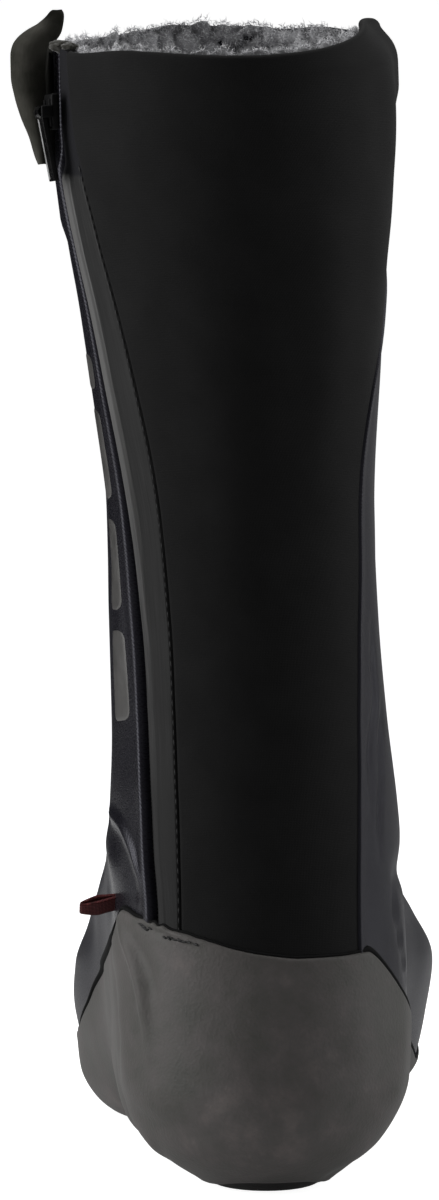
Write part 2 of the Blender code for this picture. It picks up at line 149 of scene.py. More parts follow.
def bareShell(turn, rise):
    # turn goes once round from the back past the outer side, rise counts the girth rows
    turn, rise = np.broadcast_arrays(np.asarray(turn, float), np.asarray(rise, float))
    turn = turn % 1.0
    back, backZ, front, frontZ, heel, waist, ball, backCap, frontCap = girthAt(rise)
    chord, backLength, run, frontLength = girthLengths(rise)
    inner = turn > 0.5
    halfLength = backLength + run + frontLength
    going = 2.0 * np.where(inner, 1.0 - turn, turn) * halfLength
    backAngle = 0.5 * math.pi * np.clip(going / backLength, 0.0, 1.0)
    frontAngle = 0.5 * math.pi * np.clip((halfLength - going) / frontLength, 0.0, 1.0)
    along = backCap * (1.0 - np.cos(backAngle)) + np.clip(going - backLength, 0.0, run)
    along = np.where(going > backLength + run, chord - frontCap * (1.0 - np.cos(frontAngle)), along)
    share = along / chord
    ballAt = last["ballAt"] + np.where(inner, last["ballSkew"], -last["ballSkew"])
    waist = waist * np.where(inner, last["archInner"], 1.0)
    half = heel + (waist - heel) * smooth((share - last["heelAt"]) / (last["waistAt"] - last["heelAt"]))
    half = half + (ball - waist) * smooth((share - last["waistAt"]) / (ballAt - last["waistAt"]))
    y = back + (front - back) * share
    wave = last["collarWave"] * 4.0 * share * (1.0 - share) + fair(*zip(*last["hem"]), turn)
    wave = wave * smooth(1.0 - (collarRise - rise) / last["waveRows"])
    arch = np.clip((y - last["archFrom"]) / (last["archTo"] - last["archFrom"]), 0.0, 1.0)
    spring = np.maximum(y - last["springFrom"], 0.0) / last["springRun"]
    lift = last["archLift"] * np.sin(math.pi * arch) ** 2 + last["springLift"] * spring ** 2
    z = backZ + (frontZ - backZ) * share + wave
    z = z + lift * np.clip(1.0 - (rise - 1.0) / last["liftFade"], 0.0, 1.0)
    swing = last["swing"] * (np.maximum(y - last["swingFrom"], 0.0) / last["swingRun"]) ** 2
    lean = last["lean"] * np.maximum(z - last["leanFrom"], 0.0) / last["leanRun"]
    half = half * np.sin(backAngle) * np.sin(frontAngle)
    x = swing - lean + half * np.where(inner, 1.0, -1.0)
    return np.stack((x, y, z), axis=-1)


def shellNormal(turn, rise):
    around = bareShell(turn + probe["turn"], rise) - bareShell(turn - probe["turn"], rise)
    upward = bareShell(turn, rise + probe["rise"]) - bareShell(turn, rise - probe["rise"])
    normal = np.cross(upward, around)
    return normal / np.linalg.norm(normal, axis=-1, keepdims=True)


def shell(turn, rise, out=0.0):
    return bareShell(turn, rise) + np.asarray(out)[..., None] * shellNormal(turn, rise)


def riseAt(height, turnOf):
    # the rise at which the line turnOf(rise) reaches a height, found by halving
    low = np.full(np.shape(height), featherRise)
    high = np.full(np.shape(height), collarRise + 0.5)
    for _ in range(probe["halvings"]):
        middle = 0.5 * (low + high)
        above = bareShell(turnOf(middle), middle)[..., 2] > height
        high = np.where(above, middle, high)
        low = np.where(above, low, middle)
    return 0.5 * (low + high)


def bearingTurn(bearing, rise):
    # degrees round the heel as a turn
    chord, back, run, front = girthLengths(rise)
    return bearing / 90.0 * back / (2.0 * (back + run + front))


def seamLine(rows):
    # a seam drawn as heights and degrees round the heel, kept as rises and turns
    heights, bearings = np.array(rows, float).T
    rises = riseAt(heights, lambda level: bearingTurn(bearings, level))
    return rises, bearingTurn(bearings, rises)


def seamTurn(seam, rise):
    return fair(seam[0], seam[1], np.clip(rise, seam[0][0], seam[0][-1]))


def world(points):
    return (np.asarray(points, float) - planCentre) * mm


# Seams on the shaft, as height and degrees from the middle of the heel towards the outer side.
seams = {
    "zipRear": seamLine((
        (50, 35.5), (80, 35.5), (100, 34.8), (120, 35.0), (145, 36.0), (169, 37.0), (193, 39.2),
        (215, 42.2), (240, 47.2), (262, 52.4), (280, 57.3), (298, 62.4), (314, 66.2), (328, 69.0),
        (336, 70.5),
    )),
    "zipGroove": seamLine((
        (50, 46.5), (81, 46.6), (99, 47.6), (120, 48.8), (144, 50.6), (168, 52.2), (193, 54.8),
        (214, 58.8), (238, 63.6), (262, 68.2), (279, 72.4), (297, 76.0), (318, 76.6), (336, 78.0),
    )),
    "inner": seamLine((
        (50, -39.0), (75, -39.1), (93, -40.1), (116, -42.6), (140, -45.7), (163, -48.5), (190, -51.1),
        (212, -52.3), (222, -54.0), (234, -58.0), (242, -62.5), (250, -69.0), (262, -81.0), (282, -100.0),
        (310, -118.0), (336, -125.0),
    )),
}

# Main creases: points as turn and height, then half-width and depth in millimetres.
creases = {
    "inner pleat by the seam": (
        (
            (0.848, 167), (0.8515, 161), (0.8565, 155), (0.862, 149), (0.866, 145), (0.8765, 139.5),
            (0.888, 134),
            (0.8985, 128), (0.907, 120), (0.915, 112),
        ), 1.7, -1.2,
    ),
    "inner second pleat": (
        ((0.854, 143), (0.861, 138), (0.8755, 131.4), (0.8865, 124), (0.8995, 115.4), (0.911, 107),
        (0.919, 99)),
        1.6, -1.2,
    ),
    "inner ankle pleat": (
        ((0.908, 91), (0.912, 85.6), (0.914, 80), (0.913, 74), (0.911, 68), (0.9075, 61.6),
        (0.901, 55)), 1.6, -1.3,
    ),
    "inner ankle trough": (((0.838, 97), (0.872, 93), (0.898, 92), (0.912, 89)), 4.6, -1.0),
    "inner low pleat": (
        ((0.897, 87), (0.890, 80), (0.888, 75), (0.891, 70), (0.8935, 64.5), (0.892, 57)), 1.6, -1.3,
    ),
    "inner ankle bulge": (((0.860, 82), (0.810, 78), (0.760, 74)), 6.0, 1.6),
    "outer ankle fold": (
        (
            (0.190, 112), (0.167, 109.5), (0.131, 108.5), (0.117, 107.3), (0.0994, 103), (0.0863, 97.4),
            (0.078, 91.8), (0.075, 85),
        ), 1.5, 1.0,
    ),
    "outer ankle fill": (((0.200, 100), (0.160, 98), (0.120, 95), (0.098, 90)), 6.0, 1.3),
    "outer low tuck": (((0.220, 84), (0.190, 81), (0.155, 82)), 6.0, -0.8),
    "collar inner swell": (((0.825, 334), (0.812, 318), (0.800, 296), (0.790, 270)), 15.0, 0.8),
    "collar inner flare": (((0.740, 346), (0.740, 331), (0.742, 318)), 10.0, 1.5),
    "collar inner waist": (((0.738, 312), (0.738, 288), (0.740, 262)), 15.0, -1.6),
    "outer shoulder": (((0.250, 308), (0.252, 293), (0.254, 278)), 11.0, 1.7),
    "outer shaft ridge": (((0.222, 250), (0.205, 210), (0.178, 170), (0.158, 138)), 7.0, 1.0),
    "outer shaft trough": (((0.262, 236), (0.240, 200), (0.215, 168)), 9.0, -1.1),
    "instep trough low": (((0.395, 118), (0.45, 112), (0.50, 110), (0.55, 112), (0.605, 119)), 6.0, -2.4),
    "instep ridge": (((0.385, 134), (0.44, 127), (0.50, 124), (0.56, 127), (0.615, 135)), 6.5, 1.6),
    "instep trough high": (((0.375, 150), (0.43, 143), (0.50, 139), (0.57, 143), (0.62, 151)), 6.0, -2.2),
    "outer instep pull": (((0.385, 112), (0.345, 102), (0.300, 88)), 6.0, -1.5),
    "inner instep pull": (((0.612, 114), (0.655, 103), (0.700, 88)), 6.0, -1.6),
    "vamp dimple": (((0.440, 84), (0.50, 81), (0.56, 84)), 9.0, -1.2),
    "front shaft trough": (((0.470, 300), (0.455, 250), (0.465, 200), (0.480, 172)), 8.0, -1.1),
    "front shaft ridge": (((0.545, 310), (0.555, 255), (0.540, 205)), 8.0, 1.0),
    "inner shaft trough": (((0.700, 300), (0.690, 250), (0.705, 205)), 9.0, -1.1),
    "rear soft trough": (((0.960, 300), (0.955, 250), (0.958, 200), (0.965, 150)), 11.0, -0.9),
    "rear soft ridge": (((0.915, 300), (0.905, 250), (0.910, 210)), 9.0, 0.6),
    "rear outer trough": (((0.085, 280), (0.075, 230), (0.062, 180)), 10.0, -0.6),
    "collar inner dent": (((0.860, 334), (0.845, 316), (0.840, 300)), 8.0, -0.9),
    "hem fold": (((0.930, 331), (0.890, 332), (0.850, 333), (0.810, 334)), 1.7, 0.5),
    "outer ball bulge": (((0.245, 8), (0.300, 6), (0.345, 7)), 8.0, 2.4),
    "outer ball tuck": (((0.270, 27), (0.325, 24), (0.380, 23)), 8.0, -1.5),
    "outer foot tuck": (((0.270, 64), (0.325, 58), (0.380, 50)), 13.0, -2.3),
    "inner foot swell": (((0.620, 44), (0.660, 46), (0.700, 50)), 13.0, 1.1),
    "inner ankle nip": (((0.890, 95), (0.850, 92), (0.800, 88), (0.750, 85)), 7.0, -1.9),
    "inner ball tuck": (((0.640, 22), (0.685, 22), (0.730, 22)), 14.0, -1.8),
}
guardCreases = {
    "corner ridge": (
        ((0.096, 82), (0.086, 76), (0.077, 71), (0.070, 65.5), (0.065, 59), (0.062, 51),
        (0.060, 42)), 2.2, 1.7,
    ),
    "corner trough": (((0.076, 76), (0.066, 70), (0.059, 64), (0.055, 55)), 3.2, -1.0),
    "pucker line": (((0.074, 79.6), (0.063, 78.6), (0.052, 77.2), (0.041, 75.0),
    (0.030, 72.6)), 0.9, -0.6),
    "pucker roll": (((0.072, 81.6), (0.060, 80.6), (0.049, 79.0), (0.038, 76.6)), 1.0, 0.6),
    "outer waist fill": (((0.115, 17), (0.160, 15), (0.215, 13)), 11.0, 3.2),
    "outer heel low swell": (((0.105, 22), (0.082, 17), (0.060, 11)), 7.0, 1.5),
    "inner heel low tuck": (((0.925, 11), (0.950, 7), (0.972, 5)), 5.0, -0.9),
    "outer heel hollow": (((0.115, 66), (0.105, 50), (0.098, 36)), 8.0, -1.4),
    "outer heel swell": (((0.085, 58), (0.080, 44), (0.075, 30)), 8.0, 1.0),
    "heel roll": (((0.965, 30), (0.995, 27), (0.030, 29)), 7.0, 0.6),
    "heel dent": (((0.955, 44), (0.985, 40), (0.020, 43)), 9.0, -0.7),
    "inner heel swell": (((0.925, 52), (0.930, 38), (0.940, 26)), 7.0, 0.9),
    "outer waist pull": (((0.160, 50), (0.200, 36), (0.235, 26)), 7.0, -1.0),
    "inner waist pull": (((0.870, 36), (0.830, 28), (0.790, 24)), 7.0, -1.0),
    "heel low tuck": (((0.020, 19), (0.055, 21), (0.085, 26)), 3.2, -0.6),
}


def creasePath(rows):
    # a smooth line on the bare shell
    turns, heights = np.array(rows, float).T
    turns = np.unwrap(turns, period=1.0)
    spots = np.linspace(0, len(rows) - 1, creaseShape["spanPoints"] * (len(rows) - 1) + 1)
    turn = fair(range(len(rows)), turns, spots)
    height = fair(range(len(rows)), heights, spots)
    return bareShell(turn, riseAt(height, lambda level: turn))


creasePaths = [(creasePath(rows), width, depth) for rows, width, depth in creases.values()]
guardPaths = [(creasePath(rows), width, depth) for rows, width, depth in guardCreases.values()]


def creaseField(points, paths):
    # soft troughs and ridges that fade out at both ends
    field = np.zeros(len(points))
    for path, width, depth in paths:
        reach = creaseShape["reach"] * width
        near = np.all((points > path.min(0) - reach) & (points < path.max(0) + reach), axis=1)
        if not near.any():
            continue
        spots = points[near]
        best = np.full(len(spots), 1e9)
        place = np.zeros(len(spots))
        for step, (start, end) in enumerate(zip(path[:-1], path[1:])):
            run = end - start
            share = np.clip((spots - start) @ run / (run @ run), 0.0, 1.0)
            gap = np.linalg.norm(spots - start - share[:, None] * run, axis=1)
            place = np.where(gap < best, (step + share) / (len(path) - 1), place)
            best = np.minimum(best, gap)
        fade = smooth(place / creaseShape["fade"]) * smooth((1.0 - place) / creaseShape["fade"])
        weight = creaseShape["ends"] + (1.0 - creaseShape["ends"]) * fade
        field[near] += depth * weight * hump(best, 0.0, width)
    return field


def hum(points, size, seed):
    # a slow, even waviness from a few fixed sine waves
    waves = np.random.default_rng(seed).normal(size=(6, 4))
    total = np.zeros(len(points))
    for wave in waves:
        total += np.sin(points @ wave[:3] * 2.2 / size + 6.0 * wave[3])
    return total / 6.0


def curled(turn, rise):
    points = bareShell(turn, rise)
    top = climb(rise, *collarCurl["span"])
    near = hump(turn % 1.0, collarCurl["turn"], collarCurl["spread"])
    points[..., 0] -= collarCurl["inward"] * near * top ** 2
    points[..., 2] += collarCurl["lift"] * near * top
    return points


def skin(turn, rise, out, lift=0.0, paths=creasePaths, strength=1.0):
    # a place on the finished shoe: the shell with its curl and creases, some way out from the wall
    turn, rise = np.broadcast_arrays(np.asarray(turn, float), np.asarray(rise, float))
    base = curled(turn, rise)
    field = strength * creaseField(base, paths)
    field = field + clothHum["height"] * hum(base, clothHum["size"], clothHum["seed"])
    points = base + (out + field)[..., None] * shellNormal(turn, rise)
    points[..., 2] += lift
    return points


# Small helpers for nodes. Patterns find their node tree through the socket that they follow.
socketNames = {
    "colour": "Base Color", "rough": "Roughness", "specular": "Specular IOR Level", "tint": "Specular Tint",
    "sheen": "Sheen Weight", "sheenRough": "Sheen Roughness", "sheenTint": "Sheen Tint", "normal": "Normal",
    "glow": "Emission Color", "glowStrength": "Emission Strength",
}


def fillInputs(node, inputs):
    # sockets are linked, plain values are set
    for socket, value in inputs.items():
        if isinstance(value, bpy.types.NodeSocket):
            node.id_data.links.new(value, node.inputs[socket])
        else:
            node.inputs[socket].default_value = value
    return node


def addNode(tree, kind, inputs=None, **settings):
    node = tree.nodes.new("ShaderNode" + kind)
    for name, value in settings.items():
        setattr(node, name, value)
    return fillInputs(node, inputs or {})


def newMaterial(name):
    material = bpy.data.materials.new(name)
    material.use_nodes = True
    return material


def startFinish(name, flat=False):
    # a material and the coordinates that its patterns follow: the flat cloth's or the standing shoe's
    material = newMaterial(name)
    if flat:
        return material, addNode(material.node_tree, "UVMap", uv_map="cloth").outputs["UV"]
    return material, addNode(material.node_tree, "TexCoord").outputs["Object"]


def endFinish(material, **values):
    shader = material.node_tree.nodes["Principled BSDF"]
    fillInputs(shader, {socketNames[name]: value for name, value in values.items()})
    return material


def mathNode(operation, first, second):
    return addNode(first.id_data, "Math", {0: first, 1: second}, operation=operation).outputs[0]


def plus(first, second):
    return mathNode("ADD", first, second)


def times(first, second):
    return mathNode("MULTIPLY", first, second)


def blend(first, firstShare, second, secondShare):
    return plus(times(first, firstShare), times(second, secondShare))


def ramp(value, *stops):
    node = addNode(value.id_data, "ValToRGB", {"Fac": value})
    while len(node.color_ramp.elements) < len(stops):
        node.color_ramp.elements.new(1.0)
    for element, (at, colour) in zip(node.color_ramp.elements, stops):
        element.position = at
        element.color = (*colour, 1.0)
    return node.outputs["Color"]


def spread(value, low, high, toLow, toHigh):
    inputs = {0: value, 1: low, 2: high, 3: toLow, 4: toHigh}
    return addNode(value.id_data, "MapRange", inputs).outputs["Result"]


def between(pattern, low, high):
    # the middle range of a noise, spread over these values
    return spread(pattern, 0.3, 0.7, low, high)


def noise(coords, scale, detail=3.0, roughness=0.55):
    inputs = {"Vector": coords, "Scale": scale, "Detail": detail, "Roughness": roughness}
    return addNode(coords.id_data, "TexNoise", inputs).outputs["Fac"]


def cells(coords, scale, feature="F1"):
    node = addNode(coords.id_data, "TexVoronoi", {"Vector": coords, "Scale": scale}, feature=feature)
    return node.outputs["Distance"]


def stripes(coords, scale, distortion, direction, detail=1.0):
    inputs = {"Vector": coords, "Scale": scale, "Distortion": distortion, "Detail": detail}
    node = addNode(coords.id_data, "TexWave", inputs, wave_type="BANDS", bands_direction=direction)
    return node.outputs["Fac"]


def weave(coords, across, along):
    # crossing threads: the pitch of each way is in the coordinate's own unit
    return times(stripes(coords, 0.314 / across, 0.25, "X"), stripes(coords, 0.314 / along, 0.25, "Y"))


def mapped(coords, socket, value):
    return addNode(coords.id_data, "Mapping", {"Vector": coords, socket: value}).outputs["Vector"]


def axisOf(coords, axis):
    return addNode(coords.id_data, "SeparateXYZ", {0: coords}).outputs[axis]


def mixColour(share, first, second):
    return addNode(share.id_data, "Mix", {0: share, 6: first, 7: second}, data_type="RGBA").outputs[2]


def bump(height, distance, strength):
    inputs = {"Height": height, "Distance": distance, "Strength": strength}
    return addNode(height.id_data, "Bump", inputs).outputs["Normal"]


# Finishes.

def rearClothFinish():
    # dull black softshell: fine plain weave, faint mottle and a little lint, with painted shade that darkens
    # it towards the zip
    material, coords = startFinish("rear_softshell", flat=True)
    grain = noise(coords, 2.4, 2.0)
    lint = spread(cells(coords, 0.11), 0.010, 0.020, 1.0, 0.0)
    # painted shade: darker towards the zip, on the side the left softbox lights, lighter towards the inner
    # seam
    shade = plus(noise(coords, 0.06, 4.0), spread(axisOf(coords, "X"), -120.0, 0.0, 0.15, -0.35))
    cloth = ramp(shade, (0.0, (0.0042, 0.0042, 0.0043)), (0.8, (0.0092, 0.0092, 0.0093)))
    return endFinish(
        material, colour=mixColour(times(lint, 0.35), cloth, (0.045, 0.045, 0.045, 1.0)),
        rough=between(grain, 0.70, 0.84), specular=0.10, sheen=0.035, sheenRough=0.4,
        normal=bump(plus(weave(coords, 0.5, 0.5), times(grain, 0.8)), 0.00010, 0.35),
    )


def satinClothFinish():
    # bluish charcoal satin: fine diagonal rib, smooth and a little shiny
    material, coords = startFinish("side_satin", flat=True)
    ribs = stripes(mapped(coords, "Rotation", (0.0, 0.0, 0.46)), 0.55, 0.35, "X")
    mottle = noise(coords, 0.045, 4.0)
    grain = noise(coords, 1.7, 2.0)
    # glossier beside the zip, where hands rub it
    spot = addNode(material.node_tree, "TexCoord").outputs["Object"]
    outer = spread(axisOf(spot, "X"), -0.03, 0.0, -0.13, 0.0)
    rubbed = times(outer, spread(axisOf(spot, "Y"), -0.10, -0.05, 1.0, 0.0))
    return endFinish(
        material, colour=ramp(mottle, (0.3, (0.0056, 0.0053, 0.0074)), (0.72, (0.0084, 0.0080, 0.0108))),
        rough=plus(between(grain, 0.36, 0.46), rubbed), specular=0.25, tint=(0.86, 0.86, 1.0, 1.0),
        sheen=0.03, sheenRough=0.35, sheenTint=(0.84, 0.85, 1.0, 1.0),
        normal=bump(plus(times(ribs, 0.6), grain), 0.00010, 0.40),
    )


def guardRubberFinish():
    # grey rubberised cloth: pebbled grain, mottled and rubbed
    material, coords = startFinish("guard_rubber")
    rubbed = noise(coords, 90.0, 6.0, 0.7)
    colour = ramp(
        blend(noise(coords, 24.0, 5.0), 0.5, rubbed, 0.5),
        (0.34, (0.036, 0.037, 0.032)), (0.45, (0.056, 0.054, 0.050)), (0.56, (0.073, 0.067, 0.065)),
        (0.68, (0.112, 0.098, 0.094)),
    )
    height = plus(cells(coords, 1150.0, "SMOOTH_F1"), times(noise(coords, 950.0), 0.7))
    return endFinish(
        material, colour=colour, rough=between(rubbed, 0.50, 0.64), specular=0.26, sheen=0.05,
        normal=bump(height, 0.00016, 0.45),
    )


# Sizes of the zip come before its finish, which needs them.
zipBand = {
    "filmTop": 299.5, "plainSpan": (13.45, 0.3), "ridgeWidth": 3.0, "ridgeHeight": 1.5, "flat": 0.35,
    "bottom": 5.4, "steps": (300, 34), "edge": 3.6, "edgePart": 0.30, "edgeRadius": 1.3, "edgeDrop": 2.6,
    "tuck": 1.2, "tuckSpan": (0.5, 1.2), "tuckDrop": 0.15, "filmDrop": 1.15, "bareDrop": 0.3,
    "endSpan": (-2.0, 6.0), "foldSpan": (150.0, 60.0), "ridgeReach": 0.7, "ridgeLow": 0.2,
    "stepShare": 0.35, "stepRun": 0.9, "lineDepth": 0.12, "lineSpan": (0.5, 0.35),
}


def zipFilmFinish():
    # satin film over the zip's tape: faint rolling lines along it, with painted light up its length and
    # along its fold
    material, coords = startFinish("zip_film", flat=True)
    lines = noise(mapped(coords, "Scale", (1.0, 0.03, 1.0)), 1.6)
    specks = noise(coords, 3.0, 2.0)
    # the film ends below the slider and the bare black tape goes on above it
    along = axisOf(coords, "Y")
    film = spread(along, zipBand["filmTop"] - 0.6, zipBand["filmTop"] + 0.6, 1.0, 0.0)
    # painted light: the film is painted paler towards the top, and a painted highlight runs along its fold
    linesAndPaintedLight = plus(times(lines, 0.35), spread(along, 110.0, 292.0, 0.2, 0.45))
    fold = spread(axisOf(coords, "X"), -3.9, -3.2, 0.0, 1.0)
    shine = times(fold, spread(along, 110.0, 292.0, 0.12, 0.6))
    # the ramp's palest stop is the colour of the painted highlight
    grey = ramp(
        plus(linesAndPaintedLight, shine), (0.12, (0.0024, 0.0024, 0.0025)), (0.40, (0.0052, 0.0052, 0.0053)),
        (0.62, (0.0200, 0.0200, 0.0200)), (1.0, (0.1000, 0.0990, 0.0980)),
    )
    black = ramp(specks, (0.3, (0.0088, 0.0088, 0.0104)), (0.7, (0.0125, 0.0125, 0.0145)))
    return endFinish(
        material, colour=mixColour(film, black, grey),
        rough=mathNode("SUBTRACT", between(specks, 0.80, 0.90), times(film, 0.38)), specular=0.10,
        normal=bump(plus(lines, times(specks, 0.3)), 0.00008, 0.4),
    )


def zipGlossFinish(name, dark, light, shine, smoothest, roughest):
    # moulded plastic with fine scratches
    material, coords = startFinish(name)
    scratches = noise(mapped(coords, "Scale", (1.0, 1.0, 0.06)), 2600.0, 2.0)
    smear = noise(coords, 240.0)
    return endFinish(
        material, colour=ramp(smear, (0.3, dark), (0.7, light)), rough=between(smear, smoothest, roughest),
        specular=shine, normal=bump(scratches, 0.00003, 0.35),
    )


def flapClothFinish():
    # brushed olive black, with a short nap
    material, coords = startFinish("flap_nap")
    nap = noise(mapped(coords, "Scale", (1.0, 1.0, 0.35)), 1500.0)
    patches = noise(coords, 110.0, 4.0)
    return endFinish(
        material, colour=ramp(patches, (0.34, (0.0130, 0.0130, 0.0095)), (0.66, (0.0360, 0.0345, 0.0290))),
        rough=between(nap, 0.80, 0.95), specular=0.14, sheen=0.10, sheenRough=0.5,
        sheenTint=(1.0, 0.98, 0.90, 1.0), normal=bump(nap, 0.00022, 0.5),
    )


def redTapeFinish():
    # dark red woven tape: cross ribs, threads of three reds
    material, coords = startFinish("red_woven_tape", flat=True)
    ribs = weave(coords, 0.75, 0.42)
    colour = ramp(
        blend(ribs, 0.6, noise(coords, 1.6), 0.5),
        (0.25, (0.022, 0.0030, 0.0034)), (0.55, (0.080, 0.0110, 0.0125)), (0.85, (0.190, 0.055, 0.056)),
    )
    return endFinish(
        material, colour=colour, rough=0.7, specular=0.12, sheen=0.02, normal=bump(ribs, 0.00030, 0.7)
    )


def soleRubberFinish():
    # black rubberised bottom: fine pebble, worn greyer in patches
    material, coords = startFinish("sole_rubber_black")
    wear = noise(coords, 60.0, 5.0, 0.65)
    tone = blend(wear, 0.7, noise(coords, 420.0), 0.3)
    return endFinish(
        material, colour=ramp(tone, (0.35, (0.0085, 0.0082, 0.0082)), (0.75, (0.0210, 0.0200, 0.0198))),
        rough=between(wear, 0.58, 0.78), specular=0.35,
        normal=bump(cells(coords, 900.0, "SMOOTH_F1"), 0.00020, 0.45),
    )


def fleeceFinish(name, dark, light):
    # each tuft's grey, with painted shade that darkens tufts in the lining's hollows, kept as an attribute
    material, coords = startFinish(name)
    tuftToneAndShade = addNode(material.node_tree, "Attribute", attribute_name="tuftToneAndPaintedShade").outputs["Fac"]
    tone = blend(tuftToneAndShade, 0.62, noise(coords, 170.0), 0.42)
    return endFinish(
        material, colour=ramp(tone, (0.22, dark), (0.62, light)), rough=0.95, specular=0.12, sheen=0.35,
        sheenRough=0.5, normal=bump(noise(coords, 900.0, 4.0), 0.0006, 0.6),
    )


def threadFinish():
    # black sewing thread with its twist
    material, coords = startFinish("black_thread")
    twist = stripes(coords, 900.0, 1.0, "DIAGONAL", 2.0)
    return endFinish(
        material, colour=ramp(twist, (0.2, (0.0028, 0.0028, 0.0030)), (0.8, (0.0080, 0.0080, 0.0085))),
        rough=0.55, specular=0.3, normal=bump(twist, 0.00010, 0.5),
    )


def seamFinish():
    # dull black binding tape in the seams
    material, coords = startFinish("seam_black")
    threads = noise(coords, 1900.0, 2.0)
    return endFinish(
        material, colour=ramp(threads, (0.3, (0.0022, 0.0022, 0.0023)), (0.7, (0.0042, 0.0042, 0.0044))),
        rough=0.85, specular=0.12, normal=bump(threads, 0.00010, 0.5),
    )


def printFinish():
    # plain glossy reflective print, lightly speckled
    material, coords = startFinish("reflective_print")
    wear = noise(coords, 130.0, 5.0, 0.7)
    return endFinish(
        material, colour=ramp(wear, (0.25, (0.034, 0.033, 0.032)), (0.7, (0.062, 0.060, 0.058))),
        rough=between(wear, 0.30, 0.42), specular=0.55,
        normal=bump(noise(coords, 2600.0, 2.0), 0.00005, 0.4),
    )


rearCloth = rearClothFinish()
satinCloth = satinClothFinish()
guardRubber = guardRubberFinish()
zipFilm = zipFilmFinish()
zipGloss = zipGlossFinish(
    "zip_gloss", (0.0030, 0.0030, 0.0031), (0.0062, 0.0062, 0.0064), 0.10, 0.18, 0.30
)
zipBlack = zipGlossFinish("zip_dull", (0.0022, 0.0022, 0.0023), (0.0040, 0.0040, 0.0042), 0.10, 0.45, 0.60)
# the pull's painted highlight: a light grey gloss for the panel's inner wall
pullPaintedHighlight = zipGlossFinish("pull_painted_highlight", (0.16, 0.16, 0.16), (0.34, 0.34, 0.34), 0.50, 0.18, 0.30)
flapCloth = flapClothFinish()
redTape = redTapeFinish()
soleRubber = soleRubberFinish()
fleecePile = fleeceFinish("fleece_pile", (0.11, 0.11, 0.115), (0.70, 0.70, 0.72))
fleeceBase = fleeceFinish("fleece_base", (0.06, 0.06, 0.064), (0.46, 0.46, 0.475))
blackThread = threadFinish()
seamBlack = seamFinish()
plainPrint = printFinish()
tapeEnd = fleeceFinish("tape_end", (0.030, 0.029, 0.024), (0.115, 0.112, 0.098))
print("finishes made")


# Small helpers for pieces.
weldGap = 2e-6


def addObject(name, data):
    item = bpy.data.objects.new(name, data)
    bpy.context.scene.collection.objects.link(item)
    return item


def addPiece(name, mesh, material, body="overshoe", shadeSmooth=True):
    piece = addObject(name, mesh)
    mesh.materials.append(material)
    if shadeSmooth:
        mesh.shade_smooth()
    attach(piece, body)
    return piece


def thicken(piece, thick, offset):
    wall = piece.modifiers.new("thickness", "SOLIDIFY")
    wall.thickness = thick * mm
    wall.offset = offset


def meshOf(net, name):
    mesh = bpy.data.meshes.new(name)
    net.to_mesh(mesh)
    net.free()
    return mesh


def weldMesh(mesh):
    net = bmesh.new()
    net.from_mesh(mesh)
    bmesh.ops.remove_doubles(net, verts=net.verts, dist=weldGap)
    net.to_mesh(mesh)
    net.free()


def cornerVertices(mesh):
    corners = np.empty(len(mesh.loops), int)
    mesh.loops.foreach_get("vertex_index", corners)
    return corners


def gridMesh(name, place, steps, weld=False, flip=False):
    # a grid whose points are moved onto a surface, with the flat cloth's millimetres as its UV map
    net = bmesh.new()
    bmesh.ops.create_grid(net, x_segments=steps[0], y_segments=steps[1], size=0.5)
    if flip:
        bmesh.ops.reverse_faces(net, faces=net.faces)
    mesh = meshOf(net, name)
    spots = np.empty(3 * len(mesh.vertices))
    mesh.vertices.foreach_get("co", spots)
    spots = spots.reshape(-1, 3) + 0.5
    points, flat = place(spots[:, 0], spots[:, 1])
    mesh.vertices.foreach_set("co", world(points).ravel())
    cloth = mesh.uv_layers.new(name="cloth")
    cloth.data.foreach_set("uv", np.stack(flat, axis=-1)[cornerVertices(mesh)].ravel())
    if weld:
        weldMesh(mesh)
    mesh.update()
    return mesh


def gridPiece(name, place, steps, material, weld=False):
    return addPiece(name, gridMesh(name, place, steps, weld), material)


def shapeOf(net):
    # a small shape's points and faces, for repeating
    net.verts.index_update()
    points = np.array([vertex.co for vertex in net.verts])
    faces = [[vertex.index for vertex in face.verts] for face in net.faces]
    net.free()
    return points, faces


def copies(shape, places, turns, sizes, first=0):
    # points and faces of the shape at each place (millimetres), turned by 3x3 axes and scaled
    points, faces = shape
    count = len(points)
    sizes = np.broadcast_to(np.asarray(sizes, float), (len(places), 3))
    spots = np.einsum("nij,nkj->nki", turns, points[None] * sizes[:, None]) + np.asarray(places)[:, None]
    starts = range(first, first + count * len(places), count)
    return spots.reshape(-1, 3), [[corner + start for corner in face] for start in starts for face in faces]


def joinedMesh(name, spots, faces):
    mesh = bpy.data.meshes.new(name)
    mesh.from_pydata(world(spots).tolist(), [], faces)
    mesh.update()
    return mesh


def copyPiece(name, shape, places, turns, sizes, material, shadeSmooth=True):
    mesh = joinedMesh(name, *copies(shape, places, turns, sizes))
    addPiece(name, mesh, material, shadeSmooth=shadeSmooth)


def axesFrom(along, out):
    # right-handed axes: X along, Z out
    along = along / np.linalg.norm(along, axis=-1, keepdims=True)
    side = np.cross(out, along)
    side = side / np.linalg.norm(side, axis=-1, keepdims=True)
    out = np.cross(along, side)
    return np.stack((along, side, out), axis=-1)


def pathLengths(points):
    return np.concatenate(((0.0,), np.cumsum(np.linalg.norm(np.diff(points, axis=0), axis=1))))


def perAxis(at, knots, rows):
    return np.stack([np.interp(at, knots, column) for column in rows.T], axis=-1)


def spaced(path, outward, pitch):
    # places a steady pitch apart along a path, with axes that point along it and out
    lengths = pathLengths(path)
    places = perAxis(np.arange(0.5 * pitch, lengths[-1], pitch), lengths, path)
    outs = perAxis(np.linspace(0, 1, len(places)), np.linspace(0, 1, len(path)), outward)
    return places, axesFrom(np.gradient(places, axis=0), outs)


